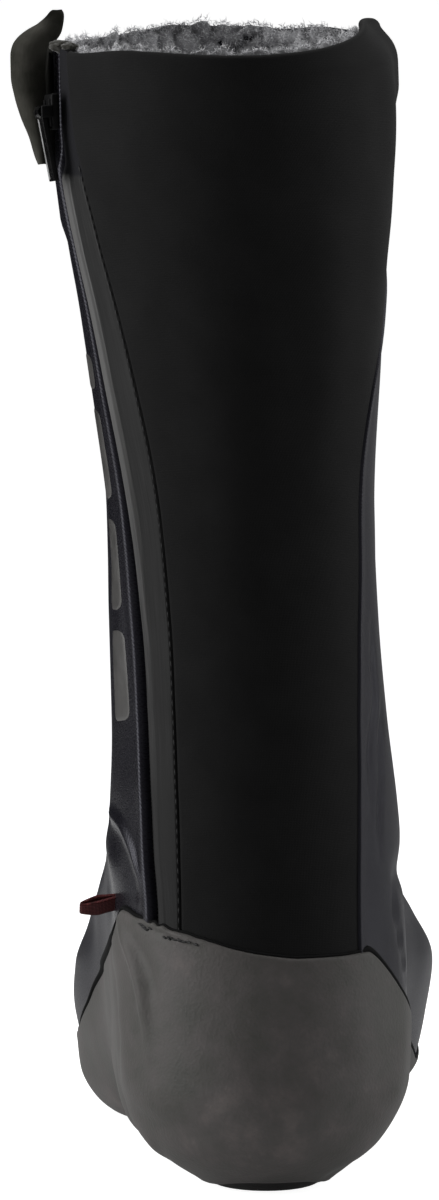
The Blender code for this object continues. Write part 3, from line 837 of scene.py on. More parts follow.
def stitchShape():
    net = bmesh.new()
    bmesh.ops.create_uvsphere(net, u_segments=6, v_segments=4, radius=0.5)
    bmesh.ops.rotate(net, cent=(0, 0, 0), matrix=Matrix.Rotation(0.5 * math.pi, 3, "Y"), verts=net.verts)
    return shapeOf(net)


def stitchRun(name, path, outward, pitch, size, slot):
    # a sewn line: one thread lump for each stitch
    places, axes = spaced(path, outward, pitch)
    copyPiece(name, stitchShape(), places, axes, size, blackThread)


def edgeRound(distance, radius, depth):
    # how far a rounded edge has dropped, this far in from it
    share = np.clip(distance / radius, 0.0, 1.0)
    return -depth * (1.0 - np.sqrt(np.maximum(1.0 - (1.0 - share) ** 2, 0.0)))


def acrossSpread(share, width, edge, part):
    # the columns lie close together near both edges of a panel
    middle = edge + (share - part) / (1.0 - 2.0 * part) * (width - 2.0 * edge)
    across = np.where(share < part, share / part * edge, middle)
    return np.where(share > 1.0 - part, width - (1.0 - share) / part * edge, across)


def roundEdges(net, edges, offset, segments):
    bmesh.ops.bevel(
        net, geom=edges, offset=offset, segments=segments, profile=0.5, affect="EDGES", material=-1
    )


def edgesOf(vertices):
    # each edge once, in the same order in every run
    return list(dict.fromkeys(edge for vertex in vertices for edge in vertex.link_edges))


# The guard: rubberised cloth round the heel, low round the foot, with a black welt along its edge.
guard = {
    "rows": 84, "columns": 400, "crowd": 0.55, "rowHeight": 21.0, "out": 1.4, "sink": 1.6,
    "topRadius": 1.2, "topDrop": 1.2, "footDrop": 1.1, "footRun": 0.05, "creaseRun": 0.1, "rowPower": 1.3,
    # rises of the lower edge, with the middle and half-width in turns of each stretch
    "foot": 2.05, "heelFoot": 1.45, "heelSpan": (-0.01, 0.11), "heelBare": 0.42,
    "bareSpan": (-0.003, 0.031), "ballWrap": 0.4, "ballSpan": (0.29, 0.10), "puckerSpan": (0.058, 0.020),
    "puckerRise": 0.016, "ripple": 640.0, "rippleDrift": 210.0,
    "weltRear": 0.45, "weltOuter": 1.2, "weltInner": 1.35, "weltOuterSpan": (0.19, 0.10),
    "weltInnerSpan": (0.046, 0.012), "weltOut": 0.6, "weltOuterOut": 2.3, "weltInnerOut": 1.0,
    "weltSeat": 0.2, "weltArc": 1.3, "weltRows": 8,
    # turns and heights of the upper edge
    "edge": (
        (-0.0531, 72.3), (-0.0369, 71.8), (-0.0156, 71.7), (0.0, 72.7), (0.0131, 74.1), (0.0331, 77.2),
        (0.0575, 80.0), (0.078, 81.9), (0.090, 83.0), (0.0965, 78.6), (0.1040, 74.4), (0.125, 69.8),
        (0.150, 65.8), (0.190, 59.9), (0.2306, 53.4), (0.2606, 45.8), (0.2769, 38.4), (0.2988, 30.7),
        (0.3094, 27.4), (0.340, 23.0), (0.400, 25.0), (0.500, 36.0), (0.600, 22.5), (0.660, 14.5),
        (0.684, 20.0), (0.700, 25.2), (0.760, 33.5), (0.840, 41.5), (0.9025, 51.0), (0.920, 57.6),
        (0.930, 63.3), (0.9375, 68.0), (0.9425, 70.8), (0.9469, 72.3), (0.9631, 71.8), (0.9844, 71.7),
        (1.0, 72.7),
    ),
}


def guardTop(turn):
    height = fair(*zip(*guard["edge"]), turn % 1.0)
    return riseAt(height, lambda level: turn)


guardTurns = np.linspace(0.0, 1.0, 801)
guardRises = guardTop(guardTurns)


def underGuard(turn, rise):
    # 1 well below the guard's edge, 0 above it
    return climb(np.interp(turn % 1.0, guardTurns, guardRises) - rise, 0.03, 0.09)


# The panels' rows go up the wall, over the collar's fold and a little way down inside.
collarFold = {
    "radius": 1.3, "rowHeight": 20.0, "angles": (22, 45, 67, 90, 112, 135, 157, 180),
    "downs": (0.10, 0.22, 0.34),
}


def panelRows(bottom, count):
    radius = collarFold["radius"]
    top = collarRise - radius / collarFold["rowHeight"]  # the fold's crown is at the collar's height
    rows = [(rise, 0.0, 0.0) for rise in np.linspace(bottom, top, count)]
    for angle in np.radians(collarFold["angles"]):
        rows.append((top, -radius * (1.0 - math.cos(angle)), radius * math.sin(angle)))
    for down in collarFold["downs"]:
        rows.append((top - down, -2.0 * radius, 0.0))
    return np.array(rows).T


def makePanel(name, panel, lay, material):
    rises, outs, lifts = panelRows(panel["bottom"], panel["rows"])

    def place(share, side):
        row = np.rint(share * (len(rises) - 1)).astype(int)
        rise = rises[row]
        turn, out, flat = lay(rise, girthLength(rise), side)
        out = panel["out"] + outs[row] + out - guard["sink"] * underGuard(turn, rise)
        points = skin(turn, rise, out, lifts[row])
        return points, (flat, points[:, 2])

    return gridPiece(name, place, (len(rises) - 1, panel["columns"]), material)


def plainTop(rise):
    # 1 beside the bare tape at the top of the zip, 0 beside the film
    return climb(rise, *zipBand["plainSpan"])


# The rear panel: dull softshell between the zip and the inner seam.
rearPanel = {
    "bottom": 5.0, "rows": 190, "columns": 96, "out": 0.2, "edge": 4.0, "edgePart": 0.10, "tuck": 4.0,
    "edgeRadius": 1.5, "edgeDrop": 1.7, "plainShare": 0.85, "tuckDrop": 0.5, "tuckSpan": (1.5, 3.5),
}


def layRear(rise, length, side):
    start = seamTurn(seams["inner"], rise) - rearPanel["tuck"] / length
    width = (seamTurn(seams["zipRear"], rise) - start) * length
    across = acrossSpread(side, width, rearPanel["edge"], rearPanel["edgePart"])
    drop = rearPanel["edgeDrop"] * (1.0 - rearPanel["plainShare"] * plainTop(rise))
    out = edgeRound(width - across, rearPanel["edgeRadius"], drop)
    tucked = 1.0 - climb(across, *rearPanel["tuckSpan"])
    return start + across / length, out - rearPanel["tuckDrop"] * tucked, across - width


# The side panel: satin cloth from the zip round the outer side, the front and the inner side.
sidePanel = {
    "bottom": 1.7, "rows": 220, "columns": 240, "out": 0.2, "edge": 16.0, "edgePart": 0.16, "gap": 1.9,
    "zipRadius": 1.7, "zipDrop": 2.2, "zipRoll": 1.0, "rollSpan": (2.2, 2.4), "plainShare": 1.3,
    "seamRadius": 0.9, "seamDrop": 1.3, "seamRoll": 0.75, "seamWidth": 2.6,
    "frontDitch": 0.55, "ditchWidth": 1.3, "ditchSpan": (4.5, 0.6),
}


def laySide(rise, length, side):
    start = seamTurn(seams["zipGroove"], rise) + sidePanel["gap"] / length
    width = (1.0 + seamTurn(seams["inner"], rise) - start) * length
    across = acrossSpread(side, width, sidePanel["edge"], sidePanel["edgePart"])
    turn = start + across / length
    left = width - across
    roll = sidePanel["zipRoll"] * (1.0 - sidePanel["plainShare"] * plainTop(rise))
    out = edgeRound(across, sidePanel["zipRadius"], sidePanel["zipDrop"])
    out = out + roll * hump(across, *sidePanel["rollSpan"])
    out = out + edgeRound(left, sidePanel["seamRadius"], sidePanel["seamDrop"])
    out = out + sidePanel["seamRoll"] * hump(left, 0.0, sidePanel["seamWidth"])
    ditch = hump((turn - 0.5) * length, 0.0, sidePanel["ditchWidth"]) * climb(rise, *sidePanel["ditchSpan"])
    return turn, out - sidePanel["frontDitch"] * ditch, across


makePanel("rear_panel", rearPanel, layRear, rearCloth)
piece = makePanel("side_panel", sidePanel, laySide, satinCloth)
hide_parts("upper")
print("panels made")


# Sewn lines of the zip's rear edge and the front seam.
sewing = {
    "zipRises": (6.1, 13.6), "zipBeside": 0.35, "zipOut": 0.05, "zipPitch": 2.9, "zipSize": (2.3, 0.75, 0.6),
    "frontRises": (5.3, 14.9), "frontBeside": 1.6, "frontOut": 0.02, "frontPitch": 2.6,
    "frontSize": (1.9, 0.5, 0.4),
}


def seamPath(turnOf, bottom, top, out, steps=240):
    rise = np.linspace(bottom, top, steps)
    turn = turnOf(rise)
    return skin(turn, rise, np.full(steps, out)), shellNormal(turn, rise)


def besideSeam(seam, beside):
    return lambda rise: seamTurn(seams[seam], rise) + beside / girthLength(rise)


def makeStitches():
    line = besideSeam("zipRear", sewing["zipBeside"])
    path = seamPath(line, *sewing["zipRises"], sewing["zipOut"])
    stitchRun("zip_stitches", *path, sewing["zipPitch"], sewing["zipSize"], "zip_tape")
    out = sidePanel["out"] + sewing["frontOut"]
    for side, label in ((-1.0, "outer"), (1.0, "inner")):
        path = seamPath(
            lambda rise: 0.5 + side * sewing["frontBeside"] / girthLength(rise), *sewing["frontRises"], out
        )
        stitchRun(f"front_stitches_{label}", *path, sewing["frontPitch"], sewing["frontSize"], "softshell")


# The zip: film band, dark groove with its coil.
zipGroove = {
    "deep": -2.0, "beside": 1.6, "steps": (300, 4), "coilRises": (6.1, 14.9), "coilOut": 0.45,
    "coilSteps": 400, "coilPitch": 1.25, "coilSize": (2.4, 0.7, 0.7),
}


def zipRise(share):
    return zipBand["bottom"] + share * (collarRise - zipBand["bottom"])


def placeBand(share, side):
    rise = zipRise(share)
    length = girthLength(rise)
    start = seamTurn(seams["zipRear"], rise) - zipBand["tuck"] / length
    width = (seamTurn(seams["zipGroove"], rise) - start) * length
    across = acrossSpread(side, width, zipBand["edge"], zipBand["edgePart"])
    left = width - across
    height = bareShell(start, rise)[:, 2]
    film = 1.0 - climb(height - zipBand["filmTop"], *zipBand["endSpan"])
    clear = climb(height, *zipBand["foldSpan"])  # the fold beside the teeth flattens out lower down
    inside = zipBand["ridgeWidth"] + zipBand["ridgeReach"] - left
    step = zipBand["stepShare"] * smooth(inside / zipBand["stepRun"])
    slope = step + (1.0 - zipBand["stepShare"]) * np.clip(inside / zipBand["ridgeWidth"], 0.0, 1.0)
    standing = zipBand["ridgeLow"] + (1.0 - zipBand["ridgeLow"]) * clear
    ridge = film * standing * zipBand["ridgeHeight"] * slope
    line = film * clear * zipBand["lineDepth"] * hump(left - zipBand["ridgeWidth"], *zipBand["lineSpan"])
    tucked = (zipBand["tuckDrop"] + zipBand["filmDrop"] * film) * (1.0 - climb(across, *zipBand["tuckSpan"]))
    out = zipBand["flat"] + ridge - line + edgeRound(left, zipBand["edgeRadius"], zipBand["edgeDrop"])
    out = out - tucked - zipBand["bareDrop"] * (1.0 - film)
    points = skin(start + across / length, rise, out)
    return points, (across - width, points[:, 2])


def placeBed(share, side):
    rise = zipRise(share)
    across = -zipGroove["beside"] + side * (sidePanel["gap"] + 2.0 * zipGroove["beside"])
    turn = seamTurn(seams["zipGroove"], rise) + across / girthLength(rise)
    points = skin(turn, rise, np.full(len(rise), zipGroove["deep"]))
    return points, (across, points[:, 2])


def makeZip():
    band = gridPiece("zip_band", placeBand, zipBand["steps"], zipFilm)
    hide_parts("zip_tape")
    gridPiece("zip_bed", placeBed, zipGroove["steps"], seamBlack)
    path = seamPath(
        besideSeam("zipGroove", 0.5 * sidePanel["gap"]), *zipGroove["coilRises"],
        zipGroove["deep"] + zipGroove["coilOut"], zipGroove["coilSteps"],
    )
    places, axes = spaced(*path, zipGroove["coilPitch"])
    # each turn of the coil lies across
    across = np.stack((axes[..., 1], -axes[..., 0], axes[..., 2]), axis=-1)
    copyPiece("zip_coil", stitchShape(), places, across, zipGroove["coilSize"], zipBlack)


makeStitches()
makeZip()
print("zip and sewn lines made")


def makeGuard():
    columnTurns = np.linspace(-0.5, 0.5, guard["columns"] + 1)
    columnTurns = columnTurns - guard["crowd"] * np.sin(2.0 * math.pi * columnTurns) / (2.0 * math.pi)
    # the puckered corner's edge is uneven
    ripple = np.sin(columnTurns * guard["ripple"] + 2.0 * np.sin(columnTurns * guard["rippleDrift"]))
    pucker = hump(columnTurns, *guard["puckerSpan"]) * guard["puckerRise"] * ripple
    columnTops = guardTop(columnTurns) + pucker

    def place(share, side):
        column = np.rint(side * guard["columns"]).astype(int)
        turn = columnTurns[column]
        top = columnTops[column]
        foot = guard["foot"] - (guard["foot"] - guard["heelFoot"]) * hump(turn, *guard["heelSpan"], 4)
        foot = foot + guard["heelBare"] * hump(turn, *guard["bareSpan"], 4)
        foot = foot - guard["ballWrap"] * hump(turn, *guard["ballSpan"], 4)
        rise = foot + (1.0 - (1.0 - share) ** guard["rowPower"]) * (top - foot)
        below = (top - rise) * guard["rowHeight"]
        out = guard["out"] + edgeRound(below, guard["topRadius"], guard["topDrop"])
        out = out - guard["footDrop"] * (1.0 - smooth(share / guard["footRun"]))
        strength = smooth(share / guard["creaseRun"])
        points = skin(turn, rise, out, paths=creasePaths + guardPaths, strength=strength)
        return points, (turn * girthLength(rise), points[:, 2])

    steps = (guard["rows"], guard["columns"])
    piece = gridPiece("heel_guard_skin", place, steps, guardRubber, weld=True)
    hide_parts("heel_guard")

    # the welt: a black half-round bead just above the guard's edge
    def placeWelt(share, side):
        column = np.rint(side * guard["columns"]).astype(int)
        turn = columnTurns[column]
        outer = hump(turn, *guard["weltOuterSpan"], 4)
        inner = climb(-turn, *guard["weltInnerSpan"])

        def graded(rear, atOuter, atInner):
            return rear + (atOuter - rear) * outer + (atInner - rear) * inner

        angle = math.pi * (0.5 + guard["weltArc"] * (share - 0.5))
        radius = graded(guard["weltRear"], guard["weltOuter"], guard["weltInner"])
        rise = columnTops[column] + (0.5 * radius - radius * np.cos(angle)) / guard["rowHeight"]
        stand = graded(guard["weltOut"], guard["weltOuterOut"], guard["weltInnerOut"])
        points = skin(turn, rise, stand * np.sin(angle) + guard["weltSeat"])
        return points, (turn * girthLength(rise), share * 4.0)

    steps = (guard["weltRows"], guard["columns"])
    gridPiece("guard_welt", placeWelt, steps, seamBlack, weld=True)


# Uneven stitches that gather the guard's outer corner, in two groups.
barTack = {
    "count": 14, "gap": 0.4, "squeeze": 0.75, "turn": 0.072, "run": -0.041, "below": 2.4, "wave": 0.5,
    "waves": 9.0, "jitter": 0.35, "out": 0.05, "lean": 4.0,
    "lengths": (1.8, 3.8), "wide": 0.8, "thick": 0.55,
}


def makeBarTack():
    count = barTack["count"]
    along = np.sort(dice.uniform(0.0, 1.0, count))
    along = np.where(along > barTack["gap"], along, barTack["squeeze"] * along)
    turn = barTack["turn"] + barTack["run"] * along
    height = fair(*zip(*guard["edge"]), turn) - barTack["below"]
    height = height + barTack["wave"] * np.sin(barTack["waves"] * along)
    height = height + barTack["jitter"] * dice.normal(size=count)
    rise = riseAt(height, lambda level: turn)
    out = np.full(count, guard["out"] + barTack["out"])
    points = skin(turn, rise, out, paths=creasePaths + guardPaths)
    lean = points[-1] - points[0] + barTack["lean"] * dice.normal(size=(count, 3))
    lengths = dice.uniform(*barTack["lengths"], count)
    sizes = np.stack((lengths, np.full(count, barTack["wide"]), np.full(count, barTack["thick"])), axis=-1)
    axes = axesFrom(lean, shellNormal(turn, rise))
    copyPiece("guard_bar_tack", stitchShape(), points, axes, sizes, blackThread)


makeGuard()
makeBarTack()
print("heel guard made")


# The fleece: a lumpy lining, with short fine fibres along the collar.
fleece = {
    "bottom": 2.3, "below": 0.05, "steps": (210, 300), "rowPower": 0.62, "out": -2.7, "lump": 2.6,
    "lumpSize": 6.2, "curl": 0.8, "curlSize": 2.2, "curlShift": 40.0, "topRun": 0.25,
    "stand": 1.7, "standLow": 0.2, "standLump": 2.2, "tipSpan": (0.74, 0.10), "tipDrop": 3.0,
    "fibres": 15000, "fibreBelow": 0.02, "band": 1.3, "bandPower": 1.7, "length": (0.9, 2.1), "thick": 0.11,
    "bends": ((0.9, 0.4), (-0.7, 0.6), (1.3, -0.5), (0.3, 0.9)), "up": (-0.5, 0.4), "stray": 0.45,
    # painted shade: the tone of a hollow, and how much lighter the lumps and curls that stand out are
    # painted; chance adds its own tone
    "liningPaintedShade": (0.24, 1.7, 0.4), "pilePaintedShade": (0.26, 1.6, 0.3), "toneJitter": 0.16,
}


def fieldAt(points, size):
    return np.array([fieldNoise.noise(Vector(point) / size) for point in points])


def fleecePlace(turn, rise):
    # the lining's lumps, which stand a little above the collar and stay below its curled tip
    base = curled(turn, rise)
    lumps = fieldAt(base, fleece["lumpSize"])
    curls = fieldAt(base + fleece["curlShift"], fleece["curlSize"])
    folds = np.minimum(creaseField(base, creasePaths), 0.0)
    out = fleece["out"] + folds - fleece["lump"] * np.abs(lumps) - fleece["curl"] * curls
    points = base + out[:, None] * shellNormal(turn, rise)
    top = climb(rise, collarRise - fleece["topRun"], fleece["topRun"])
    tip = hump(turn, *fleece["tipSpan"], 4)
    stand = fleece["stand"] * (1.0 - tip) * (fleece["standLow"] + fleece["standLump"] * np.abs(lumps))
    points[:, 2] += top * (stand - fleece["tipDrop"] * tip)
    return points, lumps, curls


def fibreShape(bend, twist):
    # a thin bent hair: a three-sided tube in two lengths, closing towards its tip
    net = bmesh.new()
    bmesh.ops.create_cone(net, segments=3, radius1=1.0, radius2=1.0, depth=1.0, cap_ends=False)
    bmesh.ops.translate(net, vec=(0.0, 0.0, 0.5), verts=net.verts)
    lengthwise = [edge for edge in net.edges if abs(edge.verts[0].co.z - edge.verts[1].co.z) > 0.5]
    bmesh.ops.subdivide_edges(net, edges=lengthwise, cuts=1, use_grid_fill=True)
    for vertex in net.verts:
        rise = vertex.co.z
        thick = (1.0 - rise) ** 0.6 + 0.15
        vertex.co.x = vertex.co.x * thick + bend * rise ** 2 / fleece["thick"]
        vertex.co.y = vertex.co.y * thick + twist * math.sin(3.2 * rise) / fleece["thick"]
    return shapeOf(net)


def lumpToneWithPaintedShade(lumps, curls, base, lump, curl):
    # painted shade: darker in the lining's hollows, lighter on lumps and curls that stand out
    return base + lump * np.abs(lumps) + curl * curls


def addToneAndShade(mesh, values):
    tone = mesh.attributes.new("tuftToneAndPaintedShade", "FLOAT", "POINT")
    tone.data.foreach_set("value", values)


def makeLining():
    # the lumps' painted shade goes through the UV map's second column
    def place(share, turn):
        height = collarRise - fleece["below"] - fleece["bottom"]
        rise = fleece["bottom"] + share ** fleece["rowPower"] * height
        points, lumps, curls = fleecePlace(turn, rise)
        return points, (turn * girthLength(rise), lumpToneWithPaintedShade(lumps, curls, *fleece["liningPaintedShade"]))

    mesh = gridMesh("fleece_lining", place, fleece["steps"], flip=True)
    tonesWithShade = np.empty(len(mesh.vertices))
    flat = np.empty(2 * len(mesh.loops))
    mesh.uv_layers["cloth"].data.foreach_get("uv", flat)
    tonesWithShade[cornerVertices(mesh)] = flat[1::2]
    addToneAndShade(mesh, tonesWithShade)
    weldMesh(mesh)
    addPiece("fleece_lining", mesh, fleeceBase)


def makePile():
    spots, faces, tonesWithShade = [], [], []
    first = 0
    count = fleece["fibres"] // len(fleece["bends"])
    thick = np.full(count, fleece["thick"])
    for shape in [fibreShape(*bend) for bend in fleece["bends"]]:
        turn = dice.uniform(0.0, 1.0, count)
        down = fleece["band"] * dice.uniform(0.0, 1.0, count) ** fleece["bandPower"]
        rise = collarRise - fleece["fibreBelow"] - down
        base, lumps, curls = fleecePlace(turn, rise)
        up = np.array((0.0, 0.0, 1.0)) * dice.uniform(*fleece["up"], (count, 1))
        stray = fleece["stray"] * np.clip(dice.normal(size=(count, 3)), -1.2, 1.2)
        aim = up - shellNormal(turn, rise) + stray
        axes = axesFrom(dice.normal(size=(count, 3)), aim)
        length = dice.uniform(*fleece["length"], count)
        placed, sides = copies(shape, base, axes, np.stack((thick, thick, length), axis=-1), first)
        first += len(placed)
        spots.append(placed)
        faces += sides
        # painted shade from the lining under each fibre, plus some tone by chance
        tone = lumpToneWithPaintedShade(lumps, curls, *fleece["pilePaintedShade"]) + fleece["toneJitter"] * dice.normal(size=count)
        tonesWithShade.append(np.repeat(np.clip(tone, 0.0, 1.0), len(shape[0])))
    mesh = joinedMesh("fleece_pile", np.concatenate(spots), faces)
    addToneAndShade(mesh, np.concatenate(tonesWithShade))
    addPiece("fleece_pile", mesh, fleecePile)


makeLining()
makePile()
print("fleece made")


# The sole: a black panel with a cleat window and low pads that stand on the floor.
sole = {
    "steps": (26, 200), "thick": 2.2, "edge": 1.95, "recess": 0.9, "recessSpan": (0.78, 0.16),
    "windowAt": 203.0, "windowSize": (40.0, 72.0, 40.0), "windowCorner": 13.0,
    "padPitch": 6.4, "padSize": (2.7, 2.7, 0.9), "padTop": 0.82, "border": 5.0,
    "padLines": 60, "padsInLine": 30, "padFrom": 20.0, "padLinePitch": 0.866, "padEdge": 0.74,
}
windowX = last["swing"] * ((sole["windowAt"] - last["swingFrom"]) / last["swingRun"]) ** 2


def makeSolePanel():
    def place(share, turn):
        rise = share * sole["edge"]
        recess = -sole["recess"] * (1.0 - climb(rise, *sole["recessSpan"]))
        base = bareShell(turn, rise)
        normal = shellNormal(turn, np.maximum(rise, 0.12))
        return base + recess[:, None] * normal, (base[:, 0], base[:, 1])

    draft = gridMesh("sole_panel", place, sole["steps"], weld=True)
    net = bmesh.new()
    bmesh.ops.create_cube(net, size=1.0)
    bmesh.ops.scale(net, vec=sole["windowSize"], verts=net.verts)
    uprights = [edge for edge in net.edges if abs(edge.verts[0].co.z - edge.verts[1].co.z) > 1.0]
    roundEdges(net, uprights, sole["windowCorner"], 8)
    bmesh.ops.scale(net, vec=(mm, mm, mm), verts=net.verts)
    bmesh.ops.translate(net, vec=Vector(world((windowX, sole["windowAt"], 0.0))), verts=net.verts)
    cutter = addObject("window_cutter", meshOf(net, "window_cutter"))
    panel = addObject("sole_draft", draft)
    thicken(panel, sole["thick"], -1.0)
    cut = panel.modifiers.new("window", "BOOLEAN")
    cut.operation = "DIFFERENCE"
    cut.object = cutter
    cut.solver = "EXACT"
    shaped = bpy.data.meshes.new_from_object(panel.evaluated_get(bpy.context.evaluated_depsgraph_get()))
    shaped.name = "sole_panel"
    for item in (cutter, panel):
        bpy.data.objects.remove(item, do_unlink=True)
    shaped.materials.clear()
    piece = addPiece("sole_panel_black", shaped, soleRubber)
    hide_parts("sole")


def makePads():
    # laid out in rows on the bottom and kept clear of the window and the edge
    net = bmesh.new()
    bmesh.ops.create_cone(net, segments=6, radius1=1.0, radius2=sole["padTop"], depth=1.0, cap_ends=True)
    bmesh.ops.rotate(net, cent=(0, 0, 0), matrix=Matrix.Rotation(math.pi, 3, "X"), verts=net.verts)
    pad = shapeOf(net)
    outline = bareShell(np.linspace(0, 1, 400), np.full(400, sole["padEdge"]))
    grid = np.meshgrid(np.linspace(0, 1, 300), np.linspace(0.02, 1.6, 30))
    bottom = bareShell(*(axis.ravel() for axis in grid))
    halfX, halfY = (0.5 * size + sole["border"] for size in sole["windowSize"][:2])
    spots = []
    for line in range(sole["padLines"]):
        for step in range(sole["padsInLine"]):
            x = (step - sole["padsInLine"] // 2 + 0.5 * (line % 2)) * sole["padPitch"]
            y = sole["padFrom"] + line * sole["padPitch"] * sole["padLinePitch"]
            edge = outline[np.argsort(np.abs(outline[:, 1] - y))[:6]]
            inside = edge[:, 0].min() < x < edge[:, 0].max()
            inside = inside and outline[:, 1].min() < y < outline[:, 1].max()
            if not inside or (abs(x - windowX) <= halfX and abs(y - sole["windowAt"]) <= halfY):
                continue
            nearest = np.argmin((bottom[:, 0] - x) ** 2 + (bottom[:, 1] - y) ** 2)
            spots.append((x, y, bottom[nearest, 2] + 0.5 * sole["padSize"][2]))
    turns = np.broadcast_to(np.eye(3), (len(spots), 3, 3))
    copyPiece("sole_pads", pad, spots, turns, sole["padSize"], soleRubber, shadeSmooth=False)


makeSolePanel()
makePads()
print("sole made")


# The flap: a soft leaf beside the top of the zip. Rows: height, then its inner and outer edge across.
flap = {
    "rows": (
        (302.5, -65.0, -66.0), (304.6, -64.6, -66.9), (310.5, -64.4, -68.7), (316.5, -64.6, -71.2),
        (322.4, -65.0, -73.0), (328.3, -65.2, -74.1), (334.4, -64.9, -74.2), (337.0, -64.4, -73.7),
        (339.0, -62.2, -72.4), (341.4, -60.6, -69.4), (342.9, -60.2, -66.8), (345.0, -59.9, -64.8),
        (346.4, -59.8, -63.9), (347.3, -60.2, -63.2), (347.8, -60.8, -62.5),
    ),
    "steps": (96, 40), "thick": 1.6, "rounding": 0.55, "rootBearing": 98.0, "rootOut": -0.8,
    "wallTop": 333.0, "freeRun": 5.0, "rootIn": 0.4, "rootAhead": 0.8, "bowAhead": 3.2, "middle": 47.5,
    "bow": 2.2, "edgeCurl": 3.0, "bowSpan": (340.0, 7.0), "fold": 0.34, "tipDrop": 3.0,
    "tipSpan": (342.0, 5.0), "hum": 0.4, "humSize": 8.0, "humSeed": 31, "flatWidth": 16.0,
    "stitchPitch": 2.1, "stitchIn": 0.86, "stitchEnds": (3.0, 4.0), "stitchSteps": 120,
    "stitchSize": (1.5, 0.45, 0.4), "stitchOut": 0.02,
}


def flapPoints(height, side):
    # from the wall the leaf goes out in the shade, turns back towards the heel and then spreads outwards
    heights, inners, outers = np.array(flap["rows"]).T
    bearing = flap["rootBearing"]
    rise = riseAt(np.minimum(height, flap["wallTop"]), lambda level: bearingTurn(bearing, level))
    root = shell(bearingTurn(bearing, rise), rise, np.full(np.shape(rise), flap["rootOut"]))
    inner = fair(heights, inners, height)
    outer = fair(heights, outers, height)
    free = climb(height, flap["wallTop"], flap["freeRun"])
    bowed = 1.0 - climb(height, *flap["bowSpan"])  # the tip lies flat
    ahead = flap["middle"] + flap["rootAhead"] + flap["bowAhead"] * bowed
    rootX = root[:, 0] + (inner - flap["rootIn"] - root[:, 0]) * free
    rootY = root[:, 1] + (ahead - root[:, 1]) * free
    turned = np.clip(side / flap["fold"], 0.0, 1.0)
    across = np.clip((side - flap["fold"]) / (1.0 - flap["fold"]), 0.0, 1.0)
    x = rootX + (inner - rootX) * smooth(turned * 1.15) + (outer - inner) * across
    y = rootY + (flap["middle"] - rootY) * smooth(turned * 1.6 - 0.6)
    y = y + bowed * (flap["edgeCurl"] * across ** 3 - flap["bow"] * np.sin(0.8 * math.pi * across))
    # the turned part ends lower
    z = height - flap["tipDrop"] * (1.0 - turned) * climb(height, *flap["tipSpan"])
    points = np.stack((x, y, z), axis=-1)
    points[:, 1] += flap["hum"] * hum(points, flap["humSize"], flap["humSeed"])
    return points


def makeFlap():
    heights = np.array(flap["rows"])[:, 0]

    def place(share, side):
        height = heights[0] + share * (heights[-1] - heights[0])
        return flapPoints(height, side), (side * flap["flatWidth"], height)

    piece = gridPiece("flap_leaf", place, flap["steps"], flapCloth)
    thicken(piece, flap["thick"], 0.0)
    rounding = piece.modifiers.new("rounding", "BEVEL")
    rounding.width = flap["rounding"] * mm
    rounding.segments = 3
    rounding.limit_method = "ANGLE"
    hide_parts("zip_flap")
    # a sewn line just inside the leaf's free edge
    steps = flap["stitchSteps"]
    low, high = flap["stitchEnds"]
    height = np.linspace(heights[0] + low, heights[-1] - high, steps)
    path = flapPoints(height, np.full(steps, flap["stitchIn"]))
    path[:, 1] -= 0.5 * flap["thick"] + flap["stitchOut"]
    outward = np.tile((0.0, -1.0, 0.0), (steps, 1))
    stitchRun("flap_stitches", path, outward, flap["stitchPitch"], flap["stitchSize"], "flap_cloth")


# The zip tape's end, crumpled over the collar: centre and half-size of each lump.
tapeStub = {
    "lumps": (((-59.9, 43.6, 337.2), (3.4, 2.6, 1.9)), ((-57.6, 39.4, 337.0), (2.4, 2.2, 1.4))),
    "coarse": 0.30, "coarseScale": 1.7, "fine": 0.14, "fineScale": 5.0,
}


def makeTapeEnd():
    net = bmesh.new()
    for centre, size in tapeStub["lumps"]:
        for vertex in bmesh.ops.create_icosphere(net, subdivisions=4, radius=1.0)["verts"]:
            coarse = fieldNoise.noise(vertex.co * tapeStub["coarseScale"] + Vector(centre))
            fine = fieldNoise.noise(vertex.co * tapeStub["fineScale"])
            crumple = 1.0 + tapeStub["coarse"] * coarse + tapeStub["fine"] * fine
            vertex.co = Vector(world(np.array(centre) + np.array(vertex.co * crumple) * np.array(size)))
    addPiece("zip_tape_end", meshOf(net, "zip_tape_end"), tapeEnd)


makeTapeEnd()
makeFlap()
print("flap made")


# The slider and its pull, on the closing line of the zip. The line's rows are heights and bearings.
zipSeat = {
    "height": 318.0, "across": 5.0, "face": 2.0, "pinOut": 4.8, "reach": 4.0,
    "line": ((81, 40.5), (120, 41.5), (169, 44.0), (216, 50.0), (263, 59.0), (300, 67.0), (340, 71.0)),
}
slider = {
    "body": (8.4, 10.5, 2.6), "tail": 0.74, "rounding": 0.8, "ear": (1.2, 3.6, 3.6), "earAt": 3.55,
    "earUp": 1.3, "earRounding": 0.45, "rail": (0.9, 8.2, 0.8), "railAt": (2.7, -0.4, 0.1),
    "railRounding": 0.3, "pinRadius": 0.8, "pinSides": 24, "sharp": 40.0,
}
pull = {
    "width": 5.6, "length": 22.0, "thick": 1.7, "eye": 1.9, "bore": 1.15, "lean": 8.0, "tabFrom": 1.5,
    "panelIn": 0.95, "panelDeep": 0.35, "rounding": 0.26, "ringSides": 10, "ringSteps": 28,
    "ringWidth": 0.96, "corner": 0.4, "rimFrom": 0.25, "rimFacing": 0.2, "sharp": 50.0,
}


def zipPoint(height, across, out):
    height = np.asarray(height, float)
    bearing = fair(*zip(*zipSeat["line"]), height)
    rise = riseAt(height, lambda level: bearingTurn(bearing, level))
    turn = bearingTurn(bearing, rise) + across / girthLength(rise)
    return shell(turn, rise, out)


